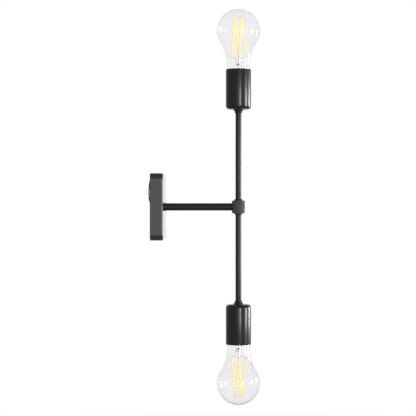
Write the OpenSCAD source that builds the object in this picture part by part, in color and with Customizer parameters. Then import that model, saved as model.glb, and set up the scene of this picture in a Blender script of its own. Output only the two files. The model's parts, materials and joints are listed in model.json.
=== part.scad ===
// Two-light wall sconce: a square wall plate, a straight arm, and an upright bar of two rods that
// turns on the arm's end. Each rod carries a socket cup with a lampholder and a filament lamp.
// The origin is on the wall, on the arm's axis. +X leaves the wall and +Z is up.

/* [Wall plate] */
// Width of the wall plate
canopy_w = 90; // [70:1:130]
// Height of the wall plate
canopy_h = 90; // [86:1:140]
// Depth of the wall plate
canopy_d = 17.5; // [16:0.5:30]
// Sheet thickness of the wall plate
canopy_wall = 1.2; // [0.8:0.1:1.6]
// Corner radius of the wall plate, seen from the front
canopy_corner_r = 8; // [4:0.5:12]
// Radius of the plate's front edge
canopy_edge_r = 2; // [1.8:0.1:3]

/* [Bracket] */
// Width of the bracket's strap
bracket_w = 30; // [28:1:34]
// Sheet thickness of the bracket
bracket_t = 1.5; // [1:0.1:2]
// Width of the bracket's two end flanges
flange_w = 14; // [12:1:20]
// Reach of the flanges from the wall
flange_reach = 12; // [11:0.5:13]
// Distance of the two wall screws, centre to centre
wall_screw_spacing = 60; // [56:0.5:64]
// Width of the slots for the wall screws
slot_w = 4.5; // [3.5:0.1:5.5]
// End-to-end length of those slots
slot_len = 12; // [8:0.5:14]
// Diameter of the hole for the supply wires
wire_hole_d = 16; // [12:0.5:18]
// Width of the hook at the bracket's lower end
hook_w = 8; // [5:0.5:12]
// Distance of the plate's screw and hook from the wall
screw_x = 8.5; // [7:0.1:9.5]

/* [Arm] */
// Distance from the wall to the bar's axis
arm_reach = 118; // [80:1:200]
// Diameter of the arm
arm_d = 10.1; // [9.4:0.1:10.5]
// Wall of the arm's tube
arm_wall = 1; // [0.8:0.05:1.05]
// Diameter of the ring at the foot of the arm
arm_ring_d = 11; // [10.6:0.1:13]
// Length of that ring
arm_ring_len = 2.8; // [1.5:0.1:6]
// Diameter of the washer behind the plate
arm_washer_d = 18; // [16:0.5:24]
// Thickness of that washer
arm_washer_t = 1; // [0.6:0.1:1.5]
// Width across the flats of the arm's nut
arm_nut_af = 14; // [13.5:0.5:17]
// Thickness of the arm's nut
arm_nut_t = 3; // [2:0.1:3.5]
// How far the tube stands out of its nut
arm_tail = 1.6; // [0.5:0.1:2]

/* [Swivel] */
// Diameter of the knurled barrel
hub_d = 17.8; // [17:0.1:22]
// Height of the knurled barrel
hub_h = 17.4; // [16.6:0.1:24]
// Chamfer at the barrel's ends
hub_chamfer = 0.5; // [0.2:0.1:1]
// Metal between the arm's seat and the rods' bore
pivot_wall = 2.2; // [2:0.1:2.6]
// Outer diameter of the hollow pivot screw
sleeve_d = 6; // [5.9:0.05:6.2]
// Bore of the hollow pivot screw
sleeve_bore = 4.7; // [4.5:0.05:4.8]
// Diameter of the pivot screw's flange
sleeve_flange_d = 7.2; // [6.8:0.1:7.2]
// Thickness of that flange
sleeve_flange_t = 1.2; // [0.8:0.1:2]
// Length of the bush in the arm's end
bush_len = 7.4; // [4:0.1:12]
// Thickness of the friction washer
friction_washer_t = 0.5; // [0.3:0.05:1]
// Width of the turning stop
stop_w = 1.5; // [1:0.1:2.2]
// Height of the turning stop
stop_h = 1; // [0.6:0.05:1.1]

/* [Rods] */
// Diameter of the rods
rod_d = 8.1; // [7.4:0.1:8.6]
// Wall of the rods' tube
rod_wall = 0.8; // [0.6:0.05:1]
// Distance from the arm's axis to the closed end of a socket cup
socket_offset = 132.4; // [60:0.1:200]
// Distance from the arm's axis to a rod's inner end
rod_start = 4.6; // [4.4:0.1:5.5]
// Diameter of a lock ring at the barrel
lock_ring_d = 11; // [11:0.1:14]
// Diameter of a lock ring at its far end
lock_ring_end_d = 9.6; // [9.6:0.1:10.8]
// Length of a lock ring
lock_ring_len = 2.1; // [2:0.1:6]
// Number of grip notches in a lock ring
lock_ring_notches = 14; // [8:1:18]

/* [Sockets] */
// Diameter of the socket cups
cup_d = 34.5; // [33:0.5:40]
// Length of the socket cups
cup_len = 54.5; // [52:0.5:70]
// Sheet thickness of the cups
cup_wall = 1; // [0.6:0.1:1.2]
// Radius of a cup's closed end
cup_corner_r = 4.5; // [2:0.1:6]
// Diameter of the collar where it meets the cup
collar_d = 14.6; // [12:0.1:16]
// Diameter of the collar's ring at the rod
collar_ring_d = 10.6; // [9.8:0.1:11.4]
// Length of the collar
collar_len = 5; // [4:0.1:8]
// Width across the flats of the nut in a cup
cup_nut_af = 12; // [11.5:0.5:14]
// Thickness of that nut
cup_nut_t = 3; // [2:0.1:4]

/* [Lampholders] */
// Distance from a cup's rim down to the lampholder's top
holder_recess = 5.5; // [5:0.1:6.5]
// Distance from a cup's rim down to the lampholder's floor
holder_depth = 30; // [28.5:0.1:31]
// Thickness of the floor of the lampholder's body
holder_floor_t = 5.95; // [4:0.05:8]
// Height of the wiring space in the lampholder's base
wiring_h = 5; // [4:0.1:5.5]
// Width of that wiring space
wiring_w = 6.4; // [5.4:0.1:9]
// Inner diameter of the screw shell
shell_bore = 26.6; // [26.4:0.05:26.9]
// Sheet thickness of the screw shell and the contacts
shell_t = 0.35; // [0.25:0.05:0.5]
// Width of the terminals and the centre contact
contact_w = 4.4; // [3:0.1:5]

/* [Lamps] */
// Largest diameter of a lamp
bulb_d = 60; // [56:0.5:64]
// Length of a lamp, tip to crown
bulb_len = 108; // [104:0.5:112]
// Distance from a cup's rim down to a lamp's contact tip
bulb_seat = 25.5; // [25:0.1:26]
// Thickness of the lamp's glass
glass_t = 0.8; // [0.5:0.05:1.2]
// Diameter of the lamp's neck at the lower end of its hollow curve
neck_d = 32.05; // [31:0.05:33]
// Angle below the equator where the neck's curve starts
shoulder_angle = 33; // [31:0.5:35]
// Slope of the neck's lower end
neck_slope = 5; // [3:0.5:6]
// Diameter of the screw cap
cap_d = 26.2; // [26:0.05:26.4]
// Sheet thickness of the screw cap
cap_t = 0.35; // [0.25:0.05:0.5]
// Length of the screw cap above the contact's insulator
cap_len = 17.4; // [16:0.1:18.4]
// Diameter of the contact tip
tip_d = 9.6; // [8:0.1:11]
// Thickness of the contact tip
tip_t = 1.5; // [1:0.1:2]
// Height of the insulator around the tip
insulator_h = 2.1; // [1.6:0.1:2.6]
// Diameter of a filament
filament_d = 2.3; // [1.6:0.1:2.6]
// Distance from a cup's rim up to the filaments' lower ends
filament_start = 18.1; // [16:0.1:20]
// Height of the filaments
filament_h = 52.9; // [40:0.1:56]
// Distance of the filaments' lower ends from the lamp's axis
filament_r = 10.2; // [8:0.1:11]
// Distance of the filaments' upper ends from the lamp's axis
filament_top_r = 4.5; // [3.8:0.1:6]
// Height of the glass stem above the lamp's neck
stem_h = 12; // [10:0.1:13]

/* [Wiring] */
// Diameter of an insulated lead
lead_d = 1.6; // [1.2:0.05:1.7]
// Distance between neighbouring leads in the tubes
lead_pitch = 1.9; // [1.8:0.05:2]
// Bend radius of the leads inside the barrel
lead_bend_r = 3.2; // [2.8:0.1:3.4]
// Length of a bend at a lampholder's terminals
terminal_bend_r = 2.2; // [1.6:0.1:2.4]
// Distance between the poles of the terminal block
pole_pitch = 8; // [7.6:0.1:9]
// Length of the terminal block, along the leads
block_h = 12; // [10:0.5:13]
// Depth of the terminal block
block_d = 9; // [8:0.5:10]
// Outer diameter of the block's brass tubes
pole_d = 4.8; // [4.6:0.1:5.4]
// Bore of those tubes
pole_bore = 3.6; // [3.5:0.05:3.8]
// Diameter of the block's clamping screws
clamp_screw_d = 2.6; // [2:0.1:3]

/* [Screws] */
// Diameter of the plate's screw
canopy_screw_d = 3; // [2.5:0.1:4]
// Diameter of its head
canopy_screw_head_d = 5.5; // [5:0.1:7]
// Height of its head
canopy_screw_head_h = 1.2; // [0.8:0.1:1.6]
// Length of its shank
canopy_screw_len = 6; // [4:0.5:10]
// Diameter of the earth screw
earth_screw_d = 4; // [3:0.1:5]
// Diameter of its head
earth_head_d = 7; // [6:0.1:8]
// Height of its head
earth_head_h = 2.4; // [1.5:0.1:3]
// Width of the driver slots
driver_slot_w = 0.8; // [0.5:0.1:1.2]

/* [Hidden] */
$fn = 64;

// Radial clearance of a thread or push fit within one body
fit_gap = 0.03;
// Radial clearance of a running fit
run_gap = 0.05;
// Gap between flat faces that turn on each other
face_gap = 0.05;
// Radial clearance of the arm's end in its seat
seat_gap = 0.1;
// Clearance around loose fits such as screw holes and slots
loose_gap = 0.3;
// Radial clearance of the lampholder in its cup
holder_gap = 0.75;
// Radial clearance of the block's clamping screws
clamp_gap = 0.2;
// Overshoot of a cut past a face
over = 1;

// Colours
black_paint = [0.09, 0.09, 0.10];
zinc = [0.72, 0.73, 0.75];
brass = [0.80, 0.64, 0.32];
clear_glass = [0.85, 0.88, 0.92, 0.35];
nickel = [0.78, 0.78, 0.76];
porcelain = [0.90, 0.88, 0.83];
amber_phosphor = [0.98, 0.84, 0.30];

// Places along X
plate_inner_x = canopy_d - canopy_wall;
washer_x = plate_inner_x - arm_washer_t;
nut_x = washer_x - arm_nut_t;
arm_start_x = nut_x - arm_tail;
bar_x = arm_reach;
rod_bore_r = rod_d / 2 + fit_gap;
seat_x = bar_x - rod_bore_r - pivot_wall;
arm_end_x = seat_x - face_gap;
bush_x = arm_end_x - bush_len;
friction_washer_x = bush_x - face_gap - friction_washer_t;
sleeve_x = friction_washer_x - sleeve_flange_t;
sleeve_end_x = bar_x - rod_bore_r;
lead_split_x = seat_x + pivot_wall / 3;
lead_split_gap = 0.3;

// Heights above the arm's axis
bracket_h = canopy_h - 2 * canopy_wall - 2 * loose_gap;
hub_top = hub_h / 2;
cup_rim = socket_offset + cup_len;
nut_z = socket_offset + cup_wall;
holder_z = nut_z + cup_nut_t + face_gap;
holder_top_z = cup_rim - holder_recess;
holder_floor_z = cup_rim - holder_depth;
holder_split_z = holder_floor_z - holder_floor_t;
rod_end = holder_split_z - wiring_h;

// Radii in a socket
holder_r = cup_d / 2 - cup_wall - holder_gap;
shell_r = shell_bore / 2 + shell_t;
holder_bore_r = shell_r + fit_gap;
// Straight end of a lead before its terminal
lead_end_len = 3.3;
terminal_y = lead_pitch / 2 + terminal_bend_r + lead_end_len;
terminal_len = 4;
// The centre contact's distance from the lamp's axis, and how much shorter its upper arm is
contact_gap = 1;
contact_short = 3;
// How far the screw shell lies below the lampholder's top
shell_set_in = 0.5;

// Lamp, measured from the cup's rim
bulb_r = bulb_d / 2;
tip_z = cup_rim - bulb_seat;
crown_centre_z = tip_z + bulb_len - bulb_r;
shoulder = [bulb_r * cos(shoulder_angle), crown_centre_z - bulb_r * sin(shoulder_angle)];
neck_arc_r = (shoulder[0] - neck_d / 2) / (cos(neck_slope) - cos(shoulder_angle));
neck_centre = shoulder + neck_arc_r * [cos(shoulder_angle), -sin(shoulder_angle)];
neck_top = neck_centre - neck_arc_r * [cos(neck_slope), -sin(neck_slope)];
insulator_z = tip_z + tip_t;
cap_z = insulator_z + insulator_h;
cap_top = cap_z + cap_len;
cap_inner_r = cap_d / 2 - cap_t;
cap_mouth_r = 9;
cap_cone_h = 2.2;
// Rim of the insulator round the tip, and its plug in the cap
insulator_rim = 0.6;
insulator_plug_h = 0.6;
insulator_taper = 0.3;
// Rounding of the tip
tip_edge = 0.4;
tip_dome_h = 0.5;
neck_taper_h = 2.4;
neck_lift = 0.2;
neck_skirt_h = 6;
neck_z = cap_top + neck_taper_h;
neck_r = neck_top[0] - (neck_top[1] - neck_z) * tan(neck_slope);
// Glass stem: its foot below the neck, its flare and its flat pinch
stem_foot_h = 2;
stem_foot_t = 0.8;
stem_flare_r = 5;
stem_flare_h = 0.6;
stem_tube_r = 3.4;
stem_bend_h = 3;
pinch_w = 8.4;
pinch_t = 3;
pinch_h = 5;
// Thickness of the filaments' wires, and how far above the pinch they start
wire_d = 0.7;
wire_gap = 0.4;
// Driver board in the cap
driver_lift = 6;
driver_t = 1;
driver_box = [8, 6, 4];

// Wiring
terminal_block_z = -16.5;
pole_set_back = 0.5;
block_end = 0.5;
terminal_x = bracket_t + block_d / 2 - pole_set_back;
block_w = 3 * pole_pitch + 2 * block_end;
// Clamping screws: how far they are sunk in the block, and their slots
clamp_sunk = 0.4;
clamp_slot_w = 0.5;
clamp_slot_h = 0.6;
earth_screw_y = 8;
earth_screw_z = 14;
// Length of the cross recess in the plate's screw
recess_len = 2.8;
// Distance from the arm's inner end to where the leads run straight
lead_entry = 4;
lead_sides = 8;
lead_side = lead_pitch / 2;

// Routes of the leads from the terminal block to the arm, chosen by hand
live_short_route = [
    [5.5, -7.15, -13], [5.5, -7.15, -9], [5, -6.5, -5.8], [4.8, -5, -3.2],
    [5.6, -2.8, -1.6], [7.8, -1.3, -1], [10.5, -0.95, -0.95]
];
live_loop_route = [
    [5.5, -8.85, -13], [5.5, -8.85, -9], [5.5, -10.5, -5.5], [6, -14, -4], [6.5, -19, -4.5],
    [7, -24, -3.5], [7.5, -27.5, 0], [7.5, -29, 5], [7.5, -29, 11], [7.5, -29, 17],
    [7.5, -29, 23], [7.2, -28.5, 28.5], [6, -27, 33], [3.2, -25, 36], [0.2, -23.5, 36],
    [-1.3, -22.5, 32.5], [-2, -22, 28], [-2.3, -22, 23.5], [-2.4, -22, 19],
    [-2.2, -22, 14], [-1.8, -21.5, 9.5], [-0.5, -20.5, 6], [2.6, -18.5, 4.6],
    [5, -14.5, 4], [6.2, -10, 3.4], [6.8, -6, 2.6], [7.8, -2.8, 1.7], [10, -1.2, 1.05]
];
neutral_upper_route = [
    [5.5, 0.85, -13], [5.5, 0.85, -9], [4.6, 2.2, -5], [4.2, 3.4, -1],
    [4.8, 3.4, 2], [7, 2.2, 2.2], [9.3, 1.2, 1.4]
];
neutral_lower_route = [
    [5.5, -0.85, -13], [5.5, -0.85, -9], [5.4, -0.6, -6], [5.4, 0.2, -3.4],
    [6.6, 0.9, -1.6], [9, 0.95, -1]
];
earth_route = [
    [5.5, 8, -13], [5.5, 8, -9], [5.2, 9, -5], [4.8, 10, -1],
    [4.4, 10.2, 3], [3.6, 9.6, 6.6], [2.7, 8.6, 9], [2.5, 8, 10.2]
];

// Turns a shape so that its Z axis points along +X and its X axis along +Y
module along_x() {
    rotate([90, 0, 90]) children();
}

// Round bar between two points
module bar_between(a, b, d) {
    run = b - a;
    length = norm(run);
    translate(a)
        rotate([0, acos(run[2] / length), atan2(run[1], run[0])])
            cylinder(h = length, d = d, $fn = 24);
}

// Tube on the Z axis
module tube(r, bore_r, h) {
    difference() {
        cylinder(h = h, r = r);
        translate([0, 0, -over]) cylinder(h = h + 2 * over, r = bore_r);
    }
}

// Hexagonal nut on the Z axis
module hex_nut(across_flats, bore_r, h) {
    difference() {
        cylinder(h = h, r = across_flats / 2 / cos(30), $fn = 6);
        translate([0, 0, -over]) cylinder(h = h + 2 * over, r = bore_r);
    }
}

// Domed screw head standing on the XY plane
module domed_head(d, h) {
    dome_r = (d * d / 4 + h * h) / (2 * h);
    intersection() {
        translate([0, 0, h - dome_r]) sphere(r = dome_r);
        cylinder(h = h, d = d);
    }
}

// Rectangle with rounded corners, centred
module rounded_outline(w, h, r) {
    square([w - 2 * r, h], center = true);
    square([w, h - 2 * r], center = true);
    for (x = [-1, 1], y = [-1, 1])
        translate([x * (w / 2 - r), y * (h / 2 - r)]) circle(r = r);
}

// Slot with round ends that runs along Y
module slot_outline(w, length) {
    square([w, length - w], center = true);
    for (end = [-1, 1])
        translate([0, end * (length - w) / 2]) circle(d = w);
}

// Outline of a plate's section: a rectangle whose two upper corners are round
module edge_outline(w, d, edge) {
    translate([-w / 2, 0]) square([w, d - edge]);
    translate([edge - w / 2, 0]) square([w - 2 * edge, d]);
    for (side = [-1, 1])
        translate([side * (w / 2 - edge), d - edge]) circle(r = edge);
}

// Shallow box on the YZ plane with rounded corners and a rounded front edge
module soft_box(w, h, d, corner, edge) {
    along_x() {
        translate([0, h / 2 - corner, 0]) rotate([90, 0, 0])
            linear_extrude(h - 2 * corner) edge_outline(w, d, edge);
        translate([corner - w / 2, 0, 0]) rotate([90, 0, 90])
            linear_extrude(w - 2 * corner) edge_outline(h, d, edge);
        for (y = [-1, 1], z = [-1, 1])
            translate([y * (w / 2 - corner), z * (h / 2 - corner), 0])
                rotate_extrude() intersection() {
                    edge_outline(2 * corner, d, edge);
                    square([corner, d]);
                }
    }
}

function unit(v) = v / norm(v);

// Direction of a run of points at one of them
function heading(points, i) =
    unit(points[min(i + 1, len(points) - 1)] - points[max(i - 1, 0)]);

// Sideways direction carried from ring to ring without twist
function carried(side, t) = unit(side - (side * t) * t);
function sideways(points, i) =
    i == 0 ? carried([0.31, 0.95, 0.05], heading(points, 0))
           : carried(sideways(points, i - 1), heading(points, i));

// Lead of round section along a route, as one closed skin of triangles
module lead_along(points) {
    count = len(points);
    last = (count - 1) * lead_sides;
    skin = [
        for (i = [0 : count - 1])
            let (t = heading(points, i), u = sideways(points, i), v = cross(t, u))
                for (k = [0 : lead_sides - 1])
                    let (angle = 360 * k / lead_sides)
                        points[i] + lead_d / 2 * (cos(angle) * u + sin(angle) * v)
    ];
    walls = [
        for (i = [0 : count - 2], k = [0 : lead_sides - 1])
            let (a = i * lead_sides + k, b = i * lead_sides + (k + 1) % lead_sides)
                each [[a, a + lead_sides, b], [b, a + lead_sides, b + lead_sides]]
    ];
    ends = [
        for (k = [1 : lead_sides - 2])
            each [[0, k, k + 1], [last, last + k + 1, last + k]]
    ];
    polyhedron(points = skin, faces = concat(walls, ends));
}

// Same part at the bar's lower end: half a turn about the arm's axis
module below() {
    rotate([180, 0, 0]) children();
}

// Moves a part to the bar's axis
module on_bar(z) {
    translate([bar_x, 0, z]) children();
}

// Wall bracket: a strap with slots for two wall screws, a tapped flange and a hooked flange
module wall_bracket() {
    flange_z = bracket_h / 2 - bracket_t;
    color(zinc) difference() {
        union() {
            along_x() linear_extrude(bracket_t) square([bracket_w, bracket_h], center = true);
            for (z = [flange_z, -bracket_h / 2])
                translate([0, -flange_w / 2, z]) cube([flange_reach, flange_w, bracket_t]);
            translate([screw_x - bracket_t / 2, -hook_w / 2, -canopy_h / 2])
                cube([bracket_t, hook_w, canopy_wall + loose_gap + bracket_t / 2]);
        }
        translate([-over, 0, 0]) along_x() linear_extrude(bracket_t + 2 * over) {
            for (end = [-1, 1])
                translate([0, end * wall_screw_spacing / 2]) slot_outline(slot_w, slot_len);
            circle(d = wire_hole_d);
        }
        translate([screw_x, 0, flange_z - over])
            cylinder(h = bracket_t + 2 * over, r = canopy_screw_d / 2 + fit_gap);
        translate([-over, earth_screw_y, earth_screw_z])
            along_x() cylinder(h = bracket_t + 2 * over, r = earth_screw_d / 2 + fit_gap);
    }
}

// Wall plate: a drawn box, open at the wall
module canopy() {
    inner_corner = canopy_corner_r - canopy_wall;
    inner_edge = canopy_edge_r - canopy_wall;
    color(black_paint) difference() {
        soft_box(canopy_w, canopy_h, canopy_d, canopy_corner_r, canopy_edge_r);
        translate([-over, 0, 0])
            soft_box(canopy_w - 2 * canopy_wall, canopy_h - 2 * canopy_wall,
                     plate_inner_x + over, inner_corner, inner_edge);
        along_x() cylinder(h = canopy_d + over, r = arm_d / 2 + fit_gap);
        translate([screw_x, 0, canopy_h / 2 - 2 * canopy_wall])
            cylinder(h = 4 * canopy_wall, r = canopy_screw_d / 2 + loose_gap / 2);
        translate([screw_x - bracket_t / 2 - loose_gap, -hook_w / 2 - loose_gap,
                   -canopy_h / 2 - over])
            cube([bracket_t + 2 * loose_gap, hook_w + 2 * loose_gap, canopy_wall + 2 * over]);
    }
}

// Screw that holds the plate on the bracket's upper flange
module canopy_screw() {
    color(black_paint) translate([screw_x, 0, canopy_h / 2]) difference() {
        union() {
            domed_head(canopy_screw_head_d, canopy_screw_head_h);
            translate([0, 0, -canopy_screw_len])
                cylinder(h = canopy_screw_len, d = canopy_screw_d);
        }
        for (turn = [0, 90])
            rotate([0, 0, turn])
                translate([-recess_len / 2, -driver_slot_w / 2, canopy_screw_head_h / 3])
                    cube([recess_len, driver_slot_w, canopy_screw_head_h]);
    }
}

// Earth screw on the bracket's strap
module earth_screw() {
    color(brass) translate([0, earth_screw_y, earth_screw_z]) along_x() difference() {
        union() {
            cylinder(h = bracket_t, d = earth_screw_d);
            translate([0, 0, bracket_t]) cylinder(h = earth_head_h, d = earth_head_d);
        }
        translate([-earth_head_d, -driver_slot_w / 2, bracket_t + earth_head_h / 2])
            cube([2 * earth_head_d, driver_slot_w, earth_head_h]);
    }
}

// Places of the block's three poles
module at_poles() {
    for (pole = [-1, 0, 1])
        translate([terminal_x, pole * pole_pitch, terminal_block_z]) children();
}

// Places of the block's six clamping screws, looking out of its front
module at_clamps() {
    at_poles()
        for (end = [-1, 1])
            translate([0, 0, end * block_h / 4]) along_x() children();
}

// Terminal block on the strap, below the wire hole
module terminal_block() {
    color("ivory") difference() {
        translate([bracket_t, -block_w / 2, terminal_block_z - block_h / 2])
            cube([block_d, block_w, block_h]);
        at_poles()
            translate([0, 0, -block_h])
                cylinder(h = 2 * block_h, r = pole_d / 2 + fit_gap);
        at_clamps() cylinder(h = block_d, r = clamp_screw_d / 2 + clamp_gap);
    }
}

// Brass tubes in the terminal block
module terminal_tubes() {
    color(brass) at_poles()
        translate([0, 0, -block_h / 2]) tube(pole_d / 2, pole_bore / 2, block_h);
}

// Clamping screws of the terminal block
module terminal_screws() {
    foot = pole_d / 2 + face_gap;
    h = bracket_t + block_d - terminal_x - clamp_sunk - foot;
    color(zinc) at_clamps() translate([0, 0, foot]) difference() {
        cylinder(h = h, d = clamp_screw_d, $fn = 32);
        translate([-clamp_screw_d, -clamp_slot_w / 2, h - clamp_slot_h])
            cube([2 * clamp_screw_d, clamp_slot_w, over]);
    }
}

// Live leads: one goes straight to the arm, the longer one bulges out of the plate's open back
module live_leads() {
    color([0.06, 0.06, 0.06]) {
        lead_along(concat(live_short_route,
                          [[arm_start_x + lead_entry, -lead_side, -lead_side],
                           [lead_split_x, -lead_side, -lead_side]]));
        lead_along(concat(live_loop_route,
                          [[arm_start_x + lead_entry, -lead_side, lead_side],
                           [lead_split_x, -lead_side, lead_side]]));
    }
}

// Neutral leads of the two lamps
module neutral_leads() {
    color([0.92, 0.92, 0.90]) {
        lead_along(concat(neutral_lower_route,
                          [[arm_start_x + lead_entry, lead_side, -lead_side],
                           [lead_split_x, lead_side, -lead_side]]));
        lead_along(concat(neutral_upper_route,
                          [[arm_start_x + lead_entry, lead_side, lead_side],
                           [lead_split_x, lead_side, lead_side]]));
    }
}

// Earth lead from the block to the earth screw
module earth_lead() {
    color([0.20, 0.55, 0.25]) lead_along(earth_route);
}

// Arm: a straight tube whose end has a tongue for the turning stop
module arm_tube() {
    color(black_paint) {
        translate([arm_start_x, 0, 0])
            along_x() tube(arm_d / 2, arm_d / 2 - arm_wall, arm_end_x - arm_start_x);
        intersection() {
            translate([arm_end_x - over, 0, 0])
                along_x() tube(arm_d / 2, arm_d / 2 - arm_wall, over + stop_h);
            translate([arm_end_x - over, -stop_w / 2, -arm_d])
                cube([over + stop_h, stop_w, arm_d]);
        }
    }
}

// Ring at the foot of the arm
module arm_ring() {
    color(black_paint) translate([canopy_d, 0, 0])
        along_x() tube(arm_ring_d / 2, arm_d / 2 + fit_gap, arm_ring_len);
}

// Washer behind the plate
module arm_washer() {
    color(zinc) translate([washer_x, 0, 0])
        along_x() tube(arm_washer_d / 2, arm_d / 2 + fit_gap, arm_washer_t);
}

// Nut that clamps the arm to the plate
module arm_nut() {
    color(zinc) translate([nut_x, 0, 0])
        along_x() hex_nut(arm_nut_af, arm_d / 2 + fit_gap, arm_nut_t);
}

// Bush in the arm's end, which the pivot screw turns in
module arm_end_bush() {
    color(brass) translate([bush_x, 0, 0])
        along_x() tube(arm_d / 2 - arm_wall - fit_gap, sleeve_d / 2 + run_gap, bush_len);
}

// Hollow pivot screw: its flange is held behind the bush and its end screws into the barrel
module pivot_sleeve() {
    color(zinc) translate([sleeve_x, 0, 0]) along_x() difference() {
        union() {
            cylinder(h = sleeve_flange_t, d = sleeve_flange_d);
            cylinder(h = sleeve_end_x - sleeve_x, d = sleeve_d);
        }
        translate([0, 0, -over])
            cylinder(h = sleeve_end_x - sleeve_x + 2 * over, d = sleeve_bore);
    }
}

// Friction washer between the pivot screw's flange and the bush
module friction_washer() {
    color("dimgray") translate([friction_washer_x, 0, 0])
        along_x() tube(sleeve_flange_d / 2, sleeve_d / 2 + fit_gap, friction_washer_t);
}

// Knurled barrel that carries both rods, with the arm's seat and its turning stop
module hub_barrel() {
    hub_r = hub_d / 2;
    groove_r = arm_d / 2 - arm_wall - seat_gap;
    stop_x = seat_x + stop_h + face_gap;
    color(black_paint) difference() {
        on_bar(0) rotate_extrude() polygon([
            [0, -hub_top], [hub_r - hub_chamfer, -hub_top], [hub_r, hub_chamfer - hub_top],
            [hub_r, hub_top - hub_chamfer], [hub_r - hub_chamfer, hub_top], [0, hub_top]
        ]);
        on_bar(-hub_h) cylinder(h = 2 * hub_h, r = rod_bore_r);
        translate([bar_x - hub_d, 0, 0])
            along_x() cylinder(h = seat_x - bar_x + hub_d, r = arm_d / 2 + seat_gap);
        translate([bar_x - hub_d, 0, 0])
            along_x() cylinder(h = hub_d, r = sleeve_d / 2 + fit_gap);
        difference() {
            translate([seat_x - over, 0, 0])
                along_x() tube(arm_d / 2 + seat_gap, groove_r, over + stop_x - seat_x);
            translate([seat_x, -stop_w / 2, 0]) cube([2 * stop_h, stop_w, arm_d]);
        }
    }
}

// Lock ring on a rod, with grip notches around it
module lock_ring() {
    notch_r = 0.7;
    color(black_paint) on_bar(hub_top) difference() {
        rotate_extrude() polygon([
            [rod_bore_r, 0], [lock_ring_d / 2, 0], [lock_ring_d / 2, lock_ring_len * 0.45],
            [lock_ring_end_d / 2, lock_ring_len], [rod_bore_r, lock_ring_len]
        ]);
        for (k = [0 : lock_ring_notches - 1])
            rotate([0, 0, 360 * (k + 0.5) / lock_ring_notches])
                translate([lock_ring_d / 2 + notch_r / 3, 0, -over])
                    cylinder(h = lock_ring_len + 2 * over, r = notch_r, $fn = 24);
    }
}

// Rod of the bar, hollow for the leads
module rod() {
    color(black_paint) on_bar(rod_start)
        tube(rod_d / 2, rod_d / 2 - rod_wall, rod_end - rod_start);
}

// Points of a quarter bend in a plane, from one angle to another
bend_steps = 4;
function quarter(r, from, to) =
    [for (i = [0 : bend_steps]) let (a = from + (to - from) * i / bend_steps) r * [cos(a), sin(a)]];

// The two leads of one lamp, from the arm through the barrel and the rod to the terminals
module bar_leads() {
    bend_x = bar_x - lead_bend_r;
    bend_z = lead_side + lead_bend_r;
    top_z = rod_end + loose_gap;
    out_y = lead_side + terminal_bend_r;
    for (side = [-1, 1])
        color(side < 0 ? [0.06, 0.06, 0.06] : [0.92, 0.92, 0.90])
            lead_along(concat(
                [[lead_split_x + lead_split_gap, side * lead_side, lead_side]],
                [for (p = quarter(lead_bend_r, -90, 0))
                    [bend_x + p[0], side * lead_side, bend_z + p[1]]],
                [for (p = quarter(terminal_bend_r, 180, 90))
                    [bar_x, side * (out_y + p[0]), top_z + p[1]]],
                [[bar_x, side * terminal_y, top_z + terminal_bend_r]]
            ));
}

// Collar between a rod and its cup: a cone with a ring at its foot
module collar() {
    foot = collar_len * 0.5;
    foot_w = 0.6;
    step = 0.3;
    lip = 0.4;
    color(black_paint) on_bar(socket_offset - collar_len) rotate_extrude() polygon([
        [rod_bore_r, 0], [rod_bore_r + foot_w, 0], [collar_ring_d / 2, foot * 0.3],
        [collar_ring_d / 2, foot * 0.75], [collar_ring_d / 2 - step, foot * 0.8],
        [collar_ring_d / 2 - step, foot], [collar_d / 2 - step, collar_len - 2 * lip],
        [collar_d / 2, collar_len - lip], [collar_d / 2, collar_len], [rod_bore_r, collar_len]
    ]);
}

// Half outline of a cup: a rectangle whose lower outer corner is round
module cup_outline(r, length, corner) {
    square([r - corner, length]);
    translate([0, corner]) square([r, length - corner]);
    translate([r - corner, corner]) circle(r = corner);
}

// Socket cup, closed at the rod and open at the lamp
module cup() {
    color(black_paint) on_bar(socket_offset) difference() {
        rotate_extrude() cup_outline(cup_d / 2, cup_len, cup_corner_r);
        translate([0, 0, cup_wall])
            rotate_extrude()
                cup_outline(cup_d / 2 - cup_wall, cup_len + over, cup_corner_r - cup_wall);
        translate([0, 0, -over]) cylinder(h = 2 * over + cup_wall, r = rod_bore_r);
    }
}

// Nut that clamps the cup and its collar
module cup_nut() {
    color(zinc) on_bar(nut_z) hex_nut(cup_nut_af, rod_bore_r, cup_nut_t);
}

// Base of the lampholder, screwed on the rod's end, with the wiring space in its top
module lampholder_base() {
    color(porcelain) on_bar(0) difference() {
        translate([0, 0, holder_z]) rotate_extrude()
            cup_outline(holder_r, holder_split_z - holder_z, cup_corner_r - cup_wall);
        translate([0, 0, holder_z - over])
            cylinder(h = rod_end - holder_z + 2 * over, r = rod_bore_r);
        translate([-wiring_w / 2, -terminal_y - terminal_len - loose_gap, rod_end])
            cube([wiring_w, 2 * (terminal_y + terminal_len + loose_gap), wiring_h + over]);
    }
}

// Body of the lampholder, which holds the screw shell
module lampholder_body() {
    color(porcelain) on_bar(0) difference() {
        translate([0, 0, holder_split_z])
            cylinder(h = holder_top_z - holder_split_z, r = holder_r);
        translate([0, 0, holder_floor_z])
            cylinder(h = holder_depth, r = holder_bore_r);
    }
}

// Screw shell that the lamp's cap turns in
module screw_shell() {
    color(brass) on_bar(holder_floor_z) difference() {
        cylinder(h = holder_top_z - holder_floor_z - shell_set_in, r = shell_r);
        translate([0, 0, shell_t]) cylinder(h = holder_depth, r = shell_bore / 2);
        translate([0, 0, -over]) cylinder(h = 3 * over, r = shell_bore / 3);
    }
}

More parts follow.
